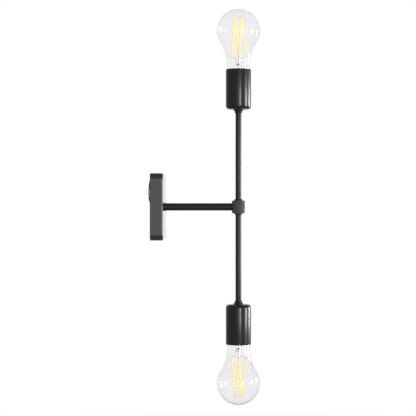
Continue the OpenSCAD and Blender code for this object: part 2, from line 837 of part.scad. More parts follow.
// Springy centre contact under the lamp's tip
module centre_contact() {
    rise = tip_z - face_gap - holder_floor_z;
    arm = contact_w + contact_gap;
    color(brass) on_bar(holder_floor_z) translate([-contact_w / 2, -arm, 0]) {
        cube([contact_w, contact_w, shell_t]);
        cube([contact_w, shell_t, rise]);
        translate([0, 0, rise - shell_t]) cube([contact_w, 2 * arm - contact_short, shell_t]);
    }
}

// Brass terminal blocks in the lampholder's base
module terminals() {
    color(brass) on_bar(rod_end) for (side = [0, 180])
        rotate([0, 0, side])
            translate([-contact_w / 2, terminal_y, 0])
                cube([contact_w, terminal_len, wiring_h]);
}

// Half outline of the lamp's glass, drawn in by a wall thickness
module bulb_outline(inset) {
    skirt_r = cap_inner_r - fit_gap - inset;
    translate([0, crown_centre_z]) intersection() {
        circle(r = bulb_r - inset, $fn = 96);
        translate([0, -bulb_r]) square([bulb_r, 2 * bulb_r]);
    }
    difference() {
        translate([0, neck_top[1]])
            square([shoulder[0], shoulder[1] - neck_top[1]]);
        translate(neck_centre) circle(r = neck_arc_r + inset, $fn = 240);
    }
    polygon([
        [0, neck_z - neck_skirt_h], [skirt_r, neck_z - neck_skirt_h],
        [skirt_r, cap_top + neck_lift], [neck_r - inset, neck_z],
        [neck_top[0] - inset, neck_top[1]], [0, neck_top[1]]
    ]);
}

// Glass bulb, open at its neck
module bulb_glass() {
    color(clear_glass) on_bar(0) rotate_extrude() difference() {
        bulb_outline(0);
        bulb_outline(glass_t);
        translate([0, neck_z - 2 * neck_skirt_h])
            square([cap_inner_r - fit_gap - glass_t, 2 * neck_skirt_h]);
    }
}

// Screw cap of the lamp
module bulb_cap() {
    color(nickel) on_bar(cap_z) rotate_extrude() polygon([
        [cap_mouth_r, 0], [cap_d / 2, cap_cone_h], [cap_d / 2, cap_len],
        [cap_inner_r, cap_len], [cap_inner_r, cap_cone_h + cap_t / 2], [cap_mouth_r, cap_t]
    ]);
}

// Insulator between the cap and the tip
module bulb_insulator() {
    color([0.10, 0.10, 0.12]) on_bar(insulator_z) rotate_extrude() polygon([
        [0, 0], [tip_d / 2 + insulator_rim, 0], [cap_mouth_r, insulator_h],
        [cap_mouth_r - insulator_taper, insulator_h + insulator_plug_h],
        [0, insulator_h + insulator_plug_h]
    ]);
}

// Contact tip of the lamp
module bulb_tip() {
    color(nickel) on_bar(tip_z) rotate_extrude() polygon([
        [0, 0], [tip_d / 4, tip_dome_h / 5], [tip_d / 2 - tip_edge, tip_dome_h],
        [tip_d / 2, tip_t], [0, tip_t]
    ]);
}

// Glass stem inside the lamp: a flared foot, a neck and a flat pinch that holds the wires
module bulb_stem() {
    foot_r = cap_inner_r - glass_t - 2 * fit_gap;
    color(clear_glass) on_bar(neck_z) {
        rotate_extrude() polygon([
            [0, -stem_foot_h], [foot_r, -stem_foot_h], [foot_r, stem_foot_t - stem_foot_h],
            [stem_flare_r, stem_flare_h], [stem_tube_r, stem_bend_h],
            [stem_tube_r, stem_h - stem_bend_h], [0, stem_h - stem_bend_h]
        ]);
        translate([-pinch_w / 2, -pinch_t / 2, stem_h - pinch_h])
            cube([pinch_w, pinch_t, pinch_h]);
    }
}

// Directions of the four filaments around the lamp's axis
filament_angles = [180, 90, 270, 0];
filament_top_angles = [197, 157, 337, 17];
function filament_foot(k) = [
    filament_r * cos(filament_angles[k]), filament_r * sin(filament_angles[k]),
    cup_rim + filament_start
];
function filament_top(k) = [
    filament_top_r * cos(filament_top_angles[k]), filament_top_r * sin(filament_top_angles[k]),
    cup_rim + filament_start + filament_h
];

// Four straight filaments, leaning together in two pairs
module bulb_filaments() {
    color(amber_phosphor) on_bar(0)
        for (k = [0 : 3]) bar_between(filament_foot(k), filament_top(k), filament_d);
}

// Wires that hold the filaments: four from the stem and one across each pair's tops
module bulb_wires() {
    pinch_z = neck_z + stem_h + wire_gap;
    color(nickel) on_bar(0) {
        for (k = [0 : 3])
            bar_between([0.35 * filament_foot(k)[0], 0.1 * filament_foot(k)[1], pinch_z],
                        filament_foot(k) - [0, 0, wire_d / 2], wire_d);
        for (pair = [[0, 1], [2, 3]])
            bar_between(filament_top(pair[0]) + [0, 0, wire_d],
                        filament_top(pair[1]) + [0, 0, wire_d], wire_d);
    }
}

// Driver board in the screw cap
module bulb_driver() {
    color([0.15, 0.35, 0.20]) on_bar(cap_z + driver_lift) {
        cylinder(h = driver_t, r = cap_inner_r - loose_gap);
        translate([-driver_box[0] / 2, -driver_box[1] / 2, driver_t]) cube(driver_box);
    }
}

// The two halves of the bar hold the same parts
module upper_lock_ring() { lock_ring(); }
module upper_rod() { rod(); }
module upper_leads() { bar_leads(); }
module upper_collar() { collar(); }
module upper_cup() { cup(); }
module upper_cup_nut() { cup_nut(); }
module upper_lampholder_base() { lampholder_base(); }
module upper_lampholder_body() { lampholder_body(); }
module upper_screw_shell() { screw_shell(); }
module upper_centre_contact() { centre_contact(); }
module upper_terminals() { terminals(); }
module upper_bulb_glass() { bulb_glass(); }
module upper_bulb_cap() { bulb_cap(); }
module upper_bulb_insulator() { bulb_insulator(); }
module upper_bulb_tip() { bulb_tip(); }
module upper_bulb_stem() { bulb_stem(); }
module upper_bulb_filaments() { bulb_filaments(); }
module upper_bulb_wires() { bulb_wires(); }
module upper_bulb_driver() { bulb_driver(); }

module lower_lock_ring() { below() lock_ring(); }
module lower_rod() { below() rod(); }
module lower_leads() { mirror([0, 0, 1]) bar_leads(); }
module lower_collar() { below() collar(); }
module lower_cup() { below() cup(); }
module lower_cup_nut() { below() cup_nut(); }
module lower_lampholder_base() { below() lampholder_base(); }
module lower_lampholder_body() { below() lampholder_body(); }
module lower_screw_shell() { below() screw_shell(); }
module lower_centre_contact() { below() centre_contact(); }
module lower_terminals() { below() terminals(); }
module lower_bulb_glass() { below() bulb_glass(); }
module lower_bulb_cap() { below() bulb_cap(); }
module lower_bulb_insulator() { below() bulb_insulator(); }
module lower_bulb_tip() { below() bulb_tip(); }
module lower_bulb_stem() { below() bulb_stem(); }
module lower_bulb_filaments() { below() bulb_filaments(); }
module lower_bulb_wires() { below() bulb_wires(); }
module lower_bulb_driver() { below() bulb_driver(); }

wall_bracket();
canopy();
canopy_screw();
earth_screw();
terminal_block();
terminal_tubes();
terminal_screws();
live_leads();
neutral_leads();
earth_lead();
arm_tube();
arm_ring();
arm_washer();
arm_nut();
arm_end_bush();
pivot_sleeve();
friction_washer();
hub_barrel();
upper_lock_ring();
upper_rod();
upper_leads();
upper_collar();
upper_cup();
upper_cup_nut();
upper_lampholder_base();
upper_lampholder_body();
upper_screw_shell();
upper_centre_contact();
upper_terminals();
upper_bulb_glass();
upper_bulb_cap();
upper_bulb_insulator();
upper_bulb_tip();
upper_bulb_stem();
upper_bulb_filaments();
upper_bulb_wires();
upper_bulb_driver();
lower_lock_ring();
lower_rod();
lower_leads();
lower_collar();
lower_cup();
lower_cup_nut();
lower_lampholder_base();
lower_lampholder_body();
lower_screw_shell();
lower_centre_contact();
lower_terminals();
lower_bulb_glass();
lower_bulb_cap();
lower_bulb_insulator();
lower_bulb_tip();
lower_bulb_stem();
lower_bulb_filaments();
lower_bulb_wires();
lower_bulb_driver();
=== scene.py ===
"""Two-light wall sconce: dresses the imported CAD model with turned, drawn and blown pieces.

The origin is on the wall, on the arm's axis. +X leaves the wall, +Z is up, and all sizes are in metres.
"""

import json
import math

import bmesh
import bpy
from bpy.props import FloatProperty, FloatVectorProperty, IntProperty, PointerProperty
from bpy.types import Operator, Panel, PropertyGroup
from mathutils import Matrix, Vector


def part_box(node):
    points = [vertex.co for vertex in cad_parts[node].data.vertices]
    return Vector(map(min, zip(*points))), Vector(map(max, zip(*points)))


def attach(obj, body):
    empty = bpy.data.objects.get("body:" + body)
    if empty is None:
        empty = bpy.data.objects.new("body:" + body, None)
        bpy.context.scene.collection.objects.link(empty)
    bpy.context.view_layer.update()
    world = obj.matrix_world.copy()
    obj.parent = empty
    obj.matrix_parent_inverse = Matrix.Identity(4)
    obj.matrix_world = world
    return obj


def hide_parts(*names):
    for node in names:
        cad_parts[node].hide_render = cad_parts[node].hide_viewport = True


bl_info = {
    "name": "Two-light wall sconce",
    "version": (1, 0, 0),
    "blender": (4, 5, 0),
    "location": "3D View > Sidebar > Sconce",
    "description": "Builds the visible pieces of a black two-light wall sconce around its CAD model",
    "category": "Object",
}

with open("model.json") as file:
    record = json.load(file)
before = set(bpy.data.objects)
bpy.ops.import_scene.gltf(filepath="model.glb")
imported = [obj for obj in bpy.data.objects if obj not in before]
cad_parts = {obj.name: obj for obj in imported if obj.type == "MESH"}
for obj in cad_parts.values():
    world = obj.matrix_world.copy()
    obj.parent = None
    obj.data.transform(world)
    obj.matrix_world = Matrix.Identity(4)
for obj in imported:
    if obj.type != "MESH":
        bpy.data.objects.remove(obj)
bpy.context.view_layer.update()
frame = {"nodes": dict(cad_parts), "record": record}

MM = 0.001
FULL_TURN = 2 * math.pi
SIDES = ("upper", "lower")
# Gap around the arm and the rods where they pass through a piece
FIT = 0.03 * MM


def span(node, axis):
    """Lowest and highest place of a CAD node along X (0), Y (1) or Z (2)."""
    low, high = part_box(node)
    return low[axis], high[axis]


BAR_X = sum(span("hub_barrel", 0)) / 2
PLATE_FRONT = span("canopy", 0)[1]
PLATE_TOP = span("canopy", 2)[1]
SCREW_X = sum(span("canopy_screw", 0)) / 2
ARM_START = span("arm_tube", 0)[0]
ARM_R = span("arm_tube", 2)[1]
BARREL_R = span("hub_barrel", 1)[1]
BARREL_TOP = span("hub_barrel", 2)[1]
RING_TOP = span("upper_lock_ring", 2)[1]
COLLAR_START, CUP_START = span("upper_collar", 2)
CUP_RIM = span("upper_cup", 2)[1]
CUP_R = span("upper_cup", 1)[1]
ROD_START, ROD_END = span("upper_rod", 2)
ROD_R = span("upper_rod", 1)[1]
BORE_R = ROD_R + FIT
TIP_Z = span("upper_bulb_tip", 2)[0]
CAP_Z, CAP_TOP = span("upper_bulb_cap", 2)
CAP_R = span("upper_bulb_cap", 1)[1]
NECK_Z = CAP_TOP + 2.4 * MM
CROWN_Z = span("upper_bulb_glass", 2)[1]
BAR = (BAR_X, 0, 0)
UP = (0, 0, 1)


# Sizes and colours that a user would change

def length(name, text, default):
    return FloatProperty(name=name, description=text, default=default, unit="LENGTH", precision=5)


def slope(name, text, degrees):
    return FloatProperty(name=name, description=text, default=math.radians(degrees), subtype="ANGLE")


def count(name, text, default, low, high):
    return IntProperty(name=name, description=text, default=default, min=low, max=high)


def colour(name, text, default):
    return FloatVectorProperty(name=name, description=text, default=default, size=3,
                               min=0, max=1, subtype="COLOR")


def share(name, text, default, top=1):
    return FloatProperty(name=name, description=text, default=default, min=0, max=top)


class SconcePlate(PropertyGroup):
    """Sizes of the wall plate."""
    corner: length("Corner radius", "Corners of the plate, seen from the front", 8 * MM)
    edge: length("Edge radius", "Radius of the plate's front edge", 2 * MM)
    sheet: length("Sheet thickness", "Steel sheet of the plate", 1.2 * MM)
    rim: length("Rim rounding", "Rounding of the rim at the wall", 0.3 * MM)


class SconceBar(PropertyGroup):
    """Sizes of the arm, the barrel and the bar."""
    knurls: count("Knurls around", "Diamonds around the barrel", 36, 16, 60)
    knurl_rows: count("Knurl rows", "Rows of diamonds along the barrel", 9, 4, 20)
    knurl_depth: length("Knurl depth", "Grooves between the diamonds", 0.26 * MM)
    chamfer: length("Barrel chamfer", "Chamfer at the barrel's ends", 0.5 * MM)
    notches: count("Grip notches", "Notches around a lock ring", 14, 8, 18)
    notch_depth: length("Notch depth", "Notches in a lock ring", 0.5 * MM)
    bore: length("Rod bore", "Barrel's bore for the rods", BORE_R)
    rod_radius: length("Rod radius", "Outer radius of the rods", ROD_R)
    rod_wall: length("Rod wall", "Wall of the rods' tube", 0.8 * MM)
    cup_corner: length("Cup end radius", "Radius of a cup's closed end", 4.5 * MM)
    cup_wall: length("Cup sheet", "Sheet thickness of the cups", 1 * MM)


class SconceLamp(PropertyGroup):
    """Sizes of the two filament lamps."""
    radius: length("Bulb radius", "Largest radius of the glass", 30 * MM)
    glass: length("Glass thickness", "Thickness of the blown glass", 0.8 * MM)
    neck_radius: length("Neck radius", "Radius of the neck where its hollow curve ends", 16.025 * MM)
    shoulder: slope("Shoulder angle", "Angle below the equator where the neck's curve starts", 33)
    neck_slope: slope("Neck slope", "Slope of the neck's lower end", 5)
    filament: length("Filament radius", "Radius of a coated filament", 1.15 * MM)
    wire: length("Wire radius", "Wires that hold the filaments", 0.25 * MM)
    thread_pitch: length("Thread pitch", "Rise of the cap's thread in a turn", 3.629 * MM)
    thread_depth: length("Thread depth", "Rolled thread of the cap", 0.95 * MM)


class SconceFinishes(PropertyGroup):
    """Colours and gloss of the finishes."""
    satin: colour("Satin black", "Powder coat of the plate, arm and rods", (0.0105, 0.0100, 0.0115))
    gloss: colour("Gloss black", "Enamel of the socket cups", (0.0065, 0.0060, 0.0068))
    knurled: colour("Barrel black", "Powder coat of the knurled barrel", (0.055, 0.0515, 0.0595))
    # Lighter tone of the knurl tips: rubbed paint, and a painted sheen
    wear_and_sheen: colour("Tip wear and sheen", "Rubbed paint and painted sheen on the tips of the knurls and edges", (0.14, 0.135, 0.15))
    zinc: colour("Zinc", "Zinc-plated steel", (0.60, 0.61, 0.62))
    brass: colour("Brass", "Brass of the contacts and terminals", (0.76, 0.56, 0.26))
    nickel: colour("Nickel", "Plating of the lamp caps and wires", (0.66, 0.63, 0.58))
    porcelain: colour("Porcelain", "Glazed porcelain of the lampholders", (0.80, 0.77, 0.70))
    phosphor: colour("Phosphor", "Amber coat of the filaments", (0.98, 0.76, 0.24))
    # Painted light: emission that brightens the unlit filaments
    painted_glow: share("Filament glow", "Painted light that brightens the unlit filaments", 0.44, 4)
    satin_roughness: share("Satin roughness", "Roughness of the powder coat", 0.36)
    gloss_roughness: share("Gloss roughness", "Roughness of the enamel", 0.30)


class SconceStage(PropertyGroup):
    """Camera, lamps and floor."""
    distance: length("Camera distance", "From the camera to the bar", 1.85)
    camera_x: length("Camera place", "From the wall to the camera's axis", 0.105)
    view_width: length("View width", "Width of the picture at the bar", 0.5658)
    centre_x: length("Picture centre", "From the wall to the picture's middle", 0.0766)
    centre_z: length("Picture height", "Picture's middle above the arm", -0.0015)
    fill: share("Room light", "Even light from all round", 0.65, 4)
    dim: share("Dim room", "Room that gloss reflects", 0.256)
    floor_z: length("Floor height", "Height of the floor below the arm", -0.42)
    floor: colour("Floor colour", "Colour of the floor under the sconce", (0.86, 0.86, 0.86))


# Finishes

class Wire:
    """A node's output that can be used in arithmetic. Each operator adds one Math node."""

    def __init__(self, finish, socket):
        self.finish, self.socket = finish, socket

    def combine(self, operation, first, second):
        return self.finish.node("Math", {"operation": operation}, {0: first, 1: second})

    def __add__(self, other):
        return self.combine("ADD", self, other)

    def __sub__(self, other):
        return self.combine("SUBTRACT", self, other)

    def __rsub__(self, other):
        return self.combine("SUBTRACT", other, self)

    def __mul__(self, other):
        return self.combine("MULTIPLY", self, other)

    __radd__, __rmul__ = __add__, __mul__


class Finish:
    """A node tree of a material or of the world, with the few helpers that every finish needs."""

    def __init__(self, owner):
        owner.use_nodes = True
        self.tree = owner.node_tree
        self.tree.nodes.clear()

    def node(self, kind, settings=None, sockets=None, output=0):
        """Adds a node of a kind: its settings first, then the values or links of its sockets."""
        made = self.tree.nodes.new("ShaderNode" + kind)
        for name, value in (settings or {}).items():
            setattr(made, name, value)
        for name, value in (sockets or {}).items():
            if isinstance(value, Wire):
                self.tree.links.new(value.socket, made.inputs[name])
            else:
                made.inputs[name].default_value = value
        return Wire(self, made.outputs[output]) if made.outputs else made

    def place(self, centre=(0, 0, 0), stretch=(1, 1, 1)):
        """Place on the piece, measured from a centre, in metres."""
        here = self.node("TexCoord", output="Object")
        shift = [-c * s for c, s in zip(centre, stretch)]
        return self.node("Mapping", {}, {"Vector": here, "Location": shift, "Scale": stretch})

    def from_bar(self):
        """Distance from the bar's axis."""
        here = self.place(BAR, (1, 1, 0))
        return self.node("VectorMath", {"operation": "LENGTH"}, {0: here}, "Value")

    def looked_at(self):
        """1 for the rays of the camera, of gloss and of glass, 0 for all other light."""
        camera, glossy, through = (self.node("LightPath", output=ray) for ray in (
            "Is Camera Ray", "Is Glossy Ray", "Is Transmission Ray"))
        return camera + glossy + through

    def noise(self, grain, detail=2, stretch=(1, 1, 1), roughness=0.5):
        """Soft noise from 0 to 1, whose grain is a length in metres."""
        return self.node("TexNoise", {}, {"Vector": self.place(stretch=stretch), "Scale": 1 / grain,
                                          "Detail": detail, "Roughness": roughness})

    def band(self, value, start, end, low=0, high=1):
        """Value carried from low at start to high at end, held outside."""
        return self.node("MapRange", {"interpolation_type": "SMOOTHSTEP"}, {
            "Value": value, "From Min": start, "From Max": end, "To Min": low, "To Max": high})

    def blend(self, factor, first, second):
        """Colour between two colours."""
        return self.node("Mix", {"data_type": "RGBA"}, {0: factor, 6: first, 7: second}, output=2)

    def bump(self, height, distance, strength=1.0):
        return self.node("Bump", {}, {"Height": height, "Distance": distance, "Strength": strength})

    def clouded(self, clouds, tone):
        """Tone that drifts darker and lighter with the clouds."""
        return self.blend(clouds, rgba(tone, 0.86), rgba(tone, 1.14))

    def mixed(self, factor, first, second):
        """Shader between two shaders."""
        return self.node("MixShader", {}, {0: factor, 1: first, 2: second})

    def end(self, shader, owner="Material"):
        self.node("Output" + owner, {}, {"Surface": shader})

    def surface(self, **sockets):
        """Principled surface whose sockets are named with underscores."""
        self.end(self.node("BsdfPrincipled", {}, {k.replace("_", " "): v for k, v in sockets.items()}))


def rgba(tone, factor=1.0):
    """Colour with its alpha, made lighter or darker by a factor."""
    return [min(1.0, c * factor) for c in tone[:3]] + [1.0]


def new_finish(name):
    material = bpy.data.materials.new(name)
    return material, Finish(material)


def coated_steel(f, tone, roughness, coat, peel, wear_and_sheen=None):
    """Black paint on metal: a fine orange peel, and faint clouds and pores in its gloss."""
    clouds = f.noise(28 * MM, detail=3)
    pores = f.noise(0.55 * MM, detail=3, roughness=0.6)
    waves = f.noise(1.9 * MM, detail=1)
    base = f.clouded(clouds, tone)
    if wear_and_sheen:
        # Lighter where the piece stands out furthest from the bar's axis: rubbed paint, and a painted
        # sheen on the knurl tips
        wear_and_sheen_tone, start, full = wear_and_sheen
        wear_and_sheen_mask = f.band(f.from_bar(), start, full) * f.band(f.noise(2.2 * MM), 0.3, 0.62)
        base = f.blend(wear_and_sheen_mask, base, rgba(wear_and_sheen_tone))
    f.surface(Base_Color=base, Roughness=roughness + (clouds - 0.5) * 0.1 + (pores - 0.5) * 0.06,
              Coat_Weight=coat, Coat_Roughness=0.08, IOR=1.6,
              Normal=f.bump(waves + 0.25 * pores, peel))


def plated(f, tone, roughness, scratch=(1, 1, 1), tarnish=0.75):
    """Bare or plated metal with drawn lines, faint clouds and duller patches."""
    clouds = f.noise(9 * MM, detail=4)
    lines = f.noise(0.35 * MM, detail=2, stretch=scratch)
    base = f.blend(f.band(clouds, 0.35, 0.75), rgba(tone), rgba(tone, tarnish))
    f.surface(Base_Color=base, Metallic=1.0, Normal=f.bump(lines, 0.01 * MM),
              Roughness=roughness + (clouds - 0.5) * 0.18 + (lines - 0.5) * 0.12)


def threaded_steel(f, tone, roughness, pitch, start, end):
    """Paint on a tube whose inner end, along X, has a cut thread."""
    clouds = f.noise(28 * MM, detail=3)
    waves = f.noise(1.9 * MM, detail=1)
    along = f.node("SeparateXYZ", {}, {0: f.place()}, output="X")
    thread = f.node("Math", {"operation": "PINGPONG"}, {0: along, 1: pitch / 2})
    on_thread = 1 - f.band(along, start, end)
    bare_steel = (0.42, 0.42, 0.43)
    base = f.blend(on_thread, f.clouded(clouds, tone), rgba(bare_steel))
    f.surface(Base_Color=base, Metallic=on_thread, Roughness=roughness + (clouds - 0.5) * 0.1, IOR=1.5,
              Normal=f.bump(waves * 0.004 * MM + thread * on_thread * 0.5, 1.0))


def moulded(f, tone, roughness, grain=0.4 * MM, coat=0.0):
    """Moulded plastic or porcelain: even colour with faint flow marks and a fine skin."""
    flow = f.noise(14 * MM, detail=3)
    skin = f.noise(grain, detail=2)
    f.surface(Base_Color=f.blend(flow, rgba(tone, 0.93), rgba(tone, 1.05)), Coat_Weight=coat,
              Coat_Roughness=0.05, Roughness=roughness + (flow - 0.5) * 0.1 + (skin - 0.5) * 0.05,
              Normal=f.bump(skin, 0.012 * MM))


def pressed_fibre(f, tone):
    """Pressed fibre: short dark and pale strands."""
    strands = f.noise(0.25 * MM, detail=4, stretch=(0.3, 1, 1))
    f.surface(Base_Color=f.blend(strands, rgba(tone, 0.6), rgba(tone, 1.5)),
              Roughness=0.8 + (strands - 0.5) * 0.2, Normal=f.bump(strands, 0.03 * MM))


def blown_glass(f, tint):
    """Clear blown glass with a trace of unevenness."""
    drift = f.noise(22 * MM, detail=1)
    f.surface(Base_Color=f.blend(drift, rgba(tint, 0.995), rgba(tint)), Roughness=0.0, IOR=1.46,
              Transmission_Weight=1.0, Normal=f.bump(drift, 0.02 * MM))


def phosphor_coat(f, tone, painted_glow):
    """Amber silicone over the filaments' chips: fine grain, paler where it is thin, and painted
    emission that brightens the unlit filaments.
    """
    beads = f.noise(1.1 * MM, detail=2)
    grain = f.noise(0.18 * MM, detail=3)
    thin_coat = (1.0, 0.85, 0.36)
    base = f.blend(f.band(beads, 0.3, 0.7), rgba(tone), rgba(thin_coat))
    # Painted light: the unlit filaments shine by emission to look brighter
    f.surface(Base_Color=base, Roughness=0.55 + (grain - 0.5) * 0.2, Emission_Color=base,
              Emission_Strength=painted_glow, Normal=f.bump(grain, 0.02 * MM))


def solder_mask(f, tone):
    """Circuit board: green mask over copper tracks."""
    tracks = f.node("TexBrick", {"offset": 0.5}, {"Vector": f.place(stretch=(1, 1, 0)), "Scale": 420,
                                                  "Mortar Size": 0.03}, output="Fac")
    speckle = f.noise(0.5 * MM, detail=2)
    copper = (0.55, 0.36, 0.16)
    f.surface(Base_Color=f.blend(tracks, rgba(tone), rgba(copper)), Metallic=tracks * 0.6,
              Roughness=0.4 + (speckle - 0.5) * 0.15, Normal=f.bump(tracks, 0.03 * MM))


FINISHES = {}


def make_finishes(tones):
    """Makes every finish. Its key is a slot of the record, or a name of its own."""
    for slot, name, look, *values in (
            ("black_paint", "satin_black_coat", coated_steel, tones.satin, tones.satin_roughness,
             0.0, 0.010 * MM),
            ("plate_black", "plate_black_coat", coated_steel, tones.satin, 0.44, 1.0, 0.008 * MM),
            ("black_gloss", "gloss_black_enamel", coated_steel, tones.gloss, tones.gloss_roughness,
             0.2, 0.006 * MM),
            # The barrel's knurl tips get a lighter tone: rubbed paint, and a painted sheen
            ("knurled_black", "barrel_black_coat", coated_steel, tones.knurled, 0.42, 0.0, 0.012 * MM,
             (tones.wear_and_sheen, BARREL_R - 0.12 * MM, BARREL_R)),
            ("threaded_black", "satin_black_threaded", threaded_steel, tones.satin,
             tones.satin_roughness, 0.75 * MM, PLATE_FRONT - 1.6 * MM, PLATE_FRONT - 1.4 * MM),
            ("zinc_steel", "zinc_plate", plated, tones.zinc, 0.34, (0.4, 1, 1), 0.8),
            ("brass", "drawn_brass", plated, tones.brass, 0.26, (1, 1, 0.25), 0.7),
            ("cap_nickel", "nickel_plate", plated, tones.nickel, 0.22, (1, 1, 4), 0.85),
            ("wire_nickel", "nickel_wire", plated, (0.90, 0.86, 0.80), 0.55, (1, 1, 0.2), 0.9),
            ("copper_wire", "copper_clad_wire", plated, (0.86, 0.55, 0.40), 0.4, (1, 1, 0.2), 0.8),
            ("terminal_plastic", "ivory_nylon", moulded, (0.78, 0.75, 0.67), 0.45),
            ("lampholder_plastic", "glazed_porcelain", moulded, tones.porcelain, 0.22, 0.9 * MM, 0.4),
            ("black_lead", "black_sleeving", moulded, (0.009, 0.009, 0.010), 0.5, 0.3 * MM),
            ("white_lead", "white_sleeving", moulded, (0.78, 0.78, 0.75), 0.36, 0.3 * MM),
            ("green_lead", "green_sleeving", moulded, (0.08, 0.34, 0.12), 0.36, 0.3 * MM),
            ("friction_fibre", "pressed_fibre", pressed_fibre, (0.25, 0.20, 0.17)),
            ("cap_insulator", "black_glass_insulator", moulded, (0.012, 0.012, 0.016), 0.12,
             1.5 * MM, 0.5),
            ("lamp_glass", "blown_glass", blown_glass, (0.944, 0.939, 0.950)),
            ("phosphor", "phosphor_coat", phosphor_coat, tones.phosphor, tones.painted_glow),
            ("circuit_board", "solder_mask", solder_mask, (0.03, 0.16, 0.07))):
        FINISHES[slot], f = new_finish(name)
        look(f, *values)


# Modelling helpers

def rounded(bm, geom, offset, segments, affect="EDGES"):
    bmesh.ops.bevel(bm, geom=geom, offset=offset, offset_type="OFFSET", segments=segments, profile=0.5,
                    affect=affect, material=-1)


def chain(bm, stations, start=None):
    """Joins stations of the XZ plane by edges. A station's third number rounds its corner."""
    verts = [] if start is None else [start]
    verts += [bm.verts.new((x, 0, z)) for x, z, *_ in stations]
    for a, b in zip(verts, verts[1:]):
        bm.edges.new((a, b))
    offset = len(verts) - len(stations)
    for vert, station in zip(verts[offset:], stations):
        if len(station) > 2:
            rounded(bm, [vert], station[2], 5, "VERTICES")


def swept(bm, geom, axis, centre, angle, steps, rise=0.0, merge=False):
    """Spins a shape around an axis, lifts it at each step, and returns what the last step made."""
    return bmesh.ops.spin(bm, geom=geom, cent=centre, axis=axis, dvec=(0, 0, rise), angle=angle,
                          steps=steps, use_merge=merge, use_normal_flip=False,
                          use_duplicate=False)["geom_last"]


def spun(bm, axis, centre, steps=96):
    """Spins everything once around an axis and closes the skin."""
    swept(bm, bm.verts[:] + bm.edges[:], axis, centre, FULL_TURN, steps, merge=True)
    clean(bm)


def clean(bm):
    bmesh.ops.remove_doubles(bm, verts=bm.verts, dist=0.0005 * MM)
    bmesh.ops.recalc_face_normals(bm, faces=bm.faces)


def turned_on_bar(stations, steps=96):
    """Piece turned around the bar's axis. Stations give radius, height and rounding."""
    bm = bmesh.new()
    chain(bm, [(BAR_X + s[0], *s[1:]) for s in (*stations, stations[0][:2])])
    spun(bm, UP, BAR, steps)
    return bm


def turned_on_arm(stations, steps=96):
    """Piece turned around the arm's axis. Stations give place along X, radius and rounding."""
    bm = bmesh.new()
    chain(bm, [*stations, stations[0][:2]])
    spun(bm, (1, 0, 0), (0, 0, 0), steps)
    return bm


def drawn_out(bm, edges):
    """Extrudes edges and returns the new edges and vertices."""
    grown = bmesh.ops.extrude_edge_only(bm, edges=edges)["geom"]
    return ([g for g in grown if isinstance(g, bmesh.types.BMEdge)],
            [g for g in grown if isinstance(g, bmesh.types.BMVert)])


def drawn_to(bm, edges, radius, height):
    """Extrudes a ring of edges to a radius around the bar's axis and a height."""
    edges, verts = drawn_out(bm, edges)
    for vert in verts:
        widened(bm, [vert], radius / radius_of(vert))
        bmesh.ops.translate(bm, vec=(0, 0, height - vert.co.z), verts=[vert])
    return edges


def open_edges(bm):
    return [e for e in bm.edges if e.is_boundary]


def radius_of(vert):
    """A vertex's distance from the bar's axis."""
    return math.hypot(vert.co.x - BAR_X, vert.co.y)


def widened(bm, verts, wide, deep=None):
    """Scales vertices away from the bar's axis, along X and Y."""
    deep = wide if deep is None else deep
    bmesh.ops.scale(bm, vec=(wide, deep, 1), verts=verts, space=Matrix.Translation((-BAR_X, 0, 0)))


def to_lower(bm):
    """Turns a piece of the upper half to the lower half: half a turn about the arm's axis."""
    bmesh.ops.rotate(bm, cent=(0, 0, 0), matrix=Matrix.Rotation(math.pi, 3, "X"), verts=bm.verts)
    bmesh.ops.recalc_face_normals(bm, faces=bm.faces)


def placed(name, data, body, finish, nodes):
    """Puts a mesh or curve in the scene, with its finish, on its body and in place of its CAD nodes."""
    data.materials.append(FINISHES[finish])
    piece = bpy.data.objects.new(name, data)
    bpy.context.scene.collection.objects.link(piece)
    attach(piece, body)
    if nodes:
        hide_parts(*nodes)
    return piece


def show(name, bm, body, finish, *nodes, slot=None, sharp=35):
    """Makes a piece of a mesh, with sharp edges where its faces turn by more than an angle."""
    mesh = bpy.data.meshes.new(name)
    bm.to_mesh(mesh)
    bm.free()
    mesh.shade_smooth()
    mesh.set_sharp_from_angle(angle=math.radians(sharp))
    return placed(name, mesh, body, finish, nodes)


def show_both(name, make, body, finish, *nodes, **looks):
    """Makes a piece in the upper half and, turned over, in the lower half. {} stands for the half."""
    pieces = []
    for half in SIDES:
        bm = make()
        if half == "lower":
            to_lower(bm)
        pieces.append(show(name.format(half), bm, body.format(half), finish,
                           *(node.format(half) for node in nodes), **looks))
    return pieces


def turned_both(name, stations, steps, body, finish, node):
    """Turns an outline around the bar's axis, for a piece in each half."""
    show_both(name, lambda: turned_on_bar(stations, steps), body, finish, node)


def carved(bm, *cutters):
    """Takes closed shapes out of another, one after the other."""
    shapes = []
    for form in (bm, *cutters):
        mesh = bpy.data.meshes.new("shape")
        form.to_mesh(mesh)
        form.free()
        shapes.append(bpy.data.objects.new("shape", mesh))
        bpy.context.scene.collection.objects.link(shapes[-1])
    for cutter in shapes[1:]:
        cut = shapes[0].modifiers.new("cut", "BOOLEAN")
        cut.operation, cut.solver, cut.object = "DIFFERENCE", "EXACT", cutter
    evaluated = shapes[0].evaluated_get(bpy.context.evaluated_depsgraph_get())
    made = bmesh.new()
    made.from_mesh(evaluated.to_mesh())
    for shape in shapes:
        mesh = shape.data
        bpy.data.objects.remove(shape)
        bpy.data.meshes.remove(mesh)
    return made


def block(size, middle):
    """Box of a size around its middle."""
    bm = bmesh.new()
    bmesh.ops.create_cube(bm, size=1)
    bmesh.ops.scale(bm, vec=size, verts=bm.verts)
    bmesh.ops.translate(bm, vec=middle, verts=bm.verts)
    return bm


def boxed(low, high):
    """Box between two corners."""
    low, high = Vector(low), Vector(high)
    return block(high - low, (high + low) / 2)


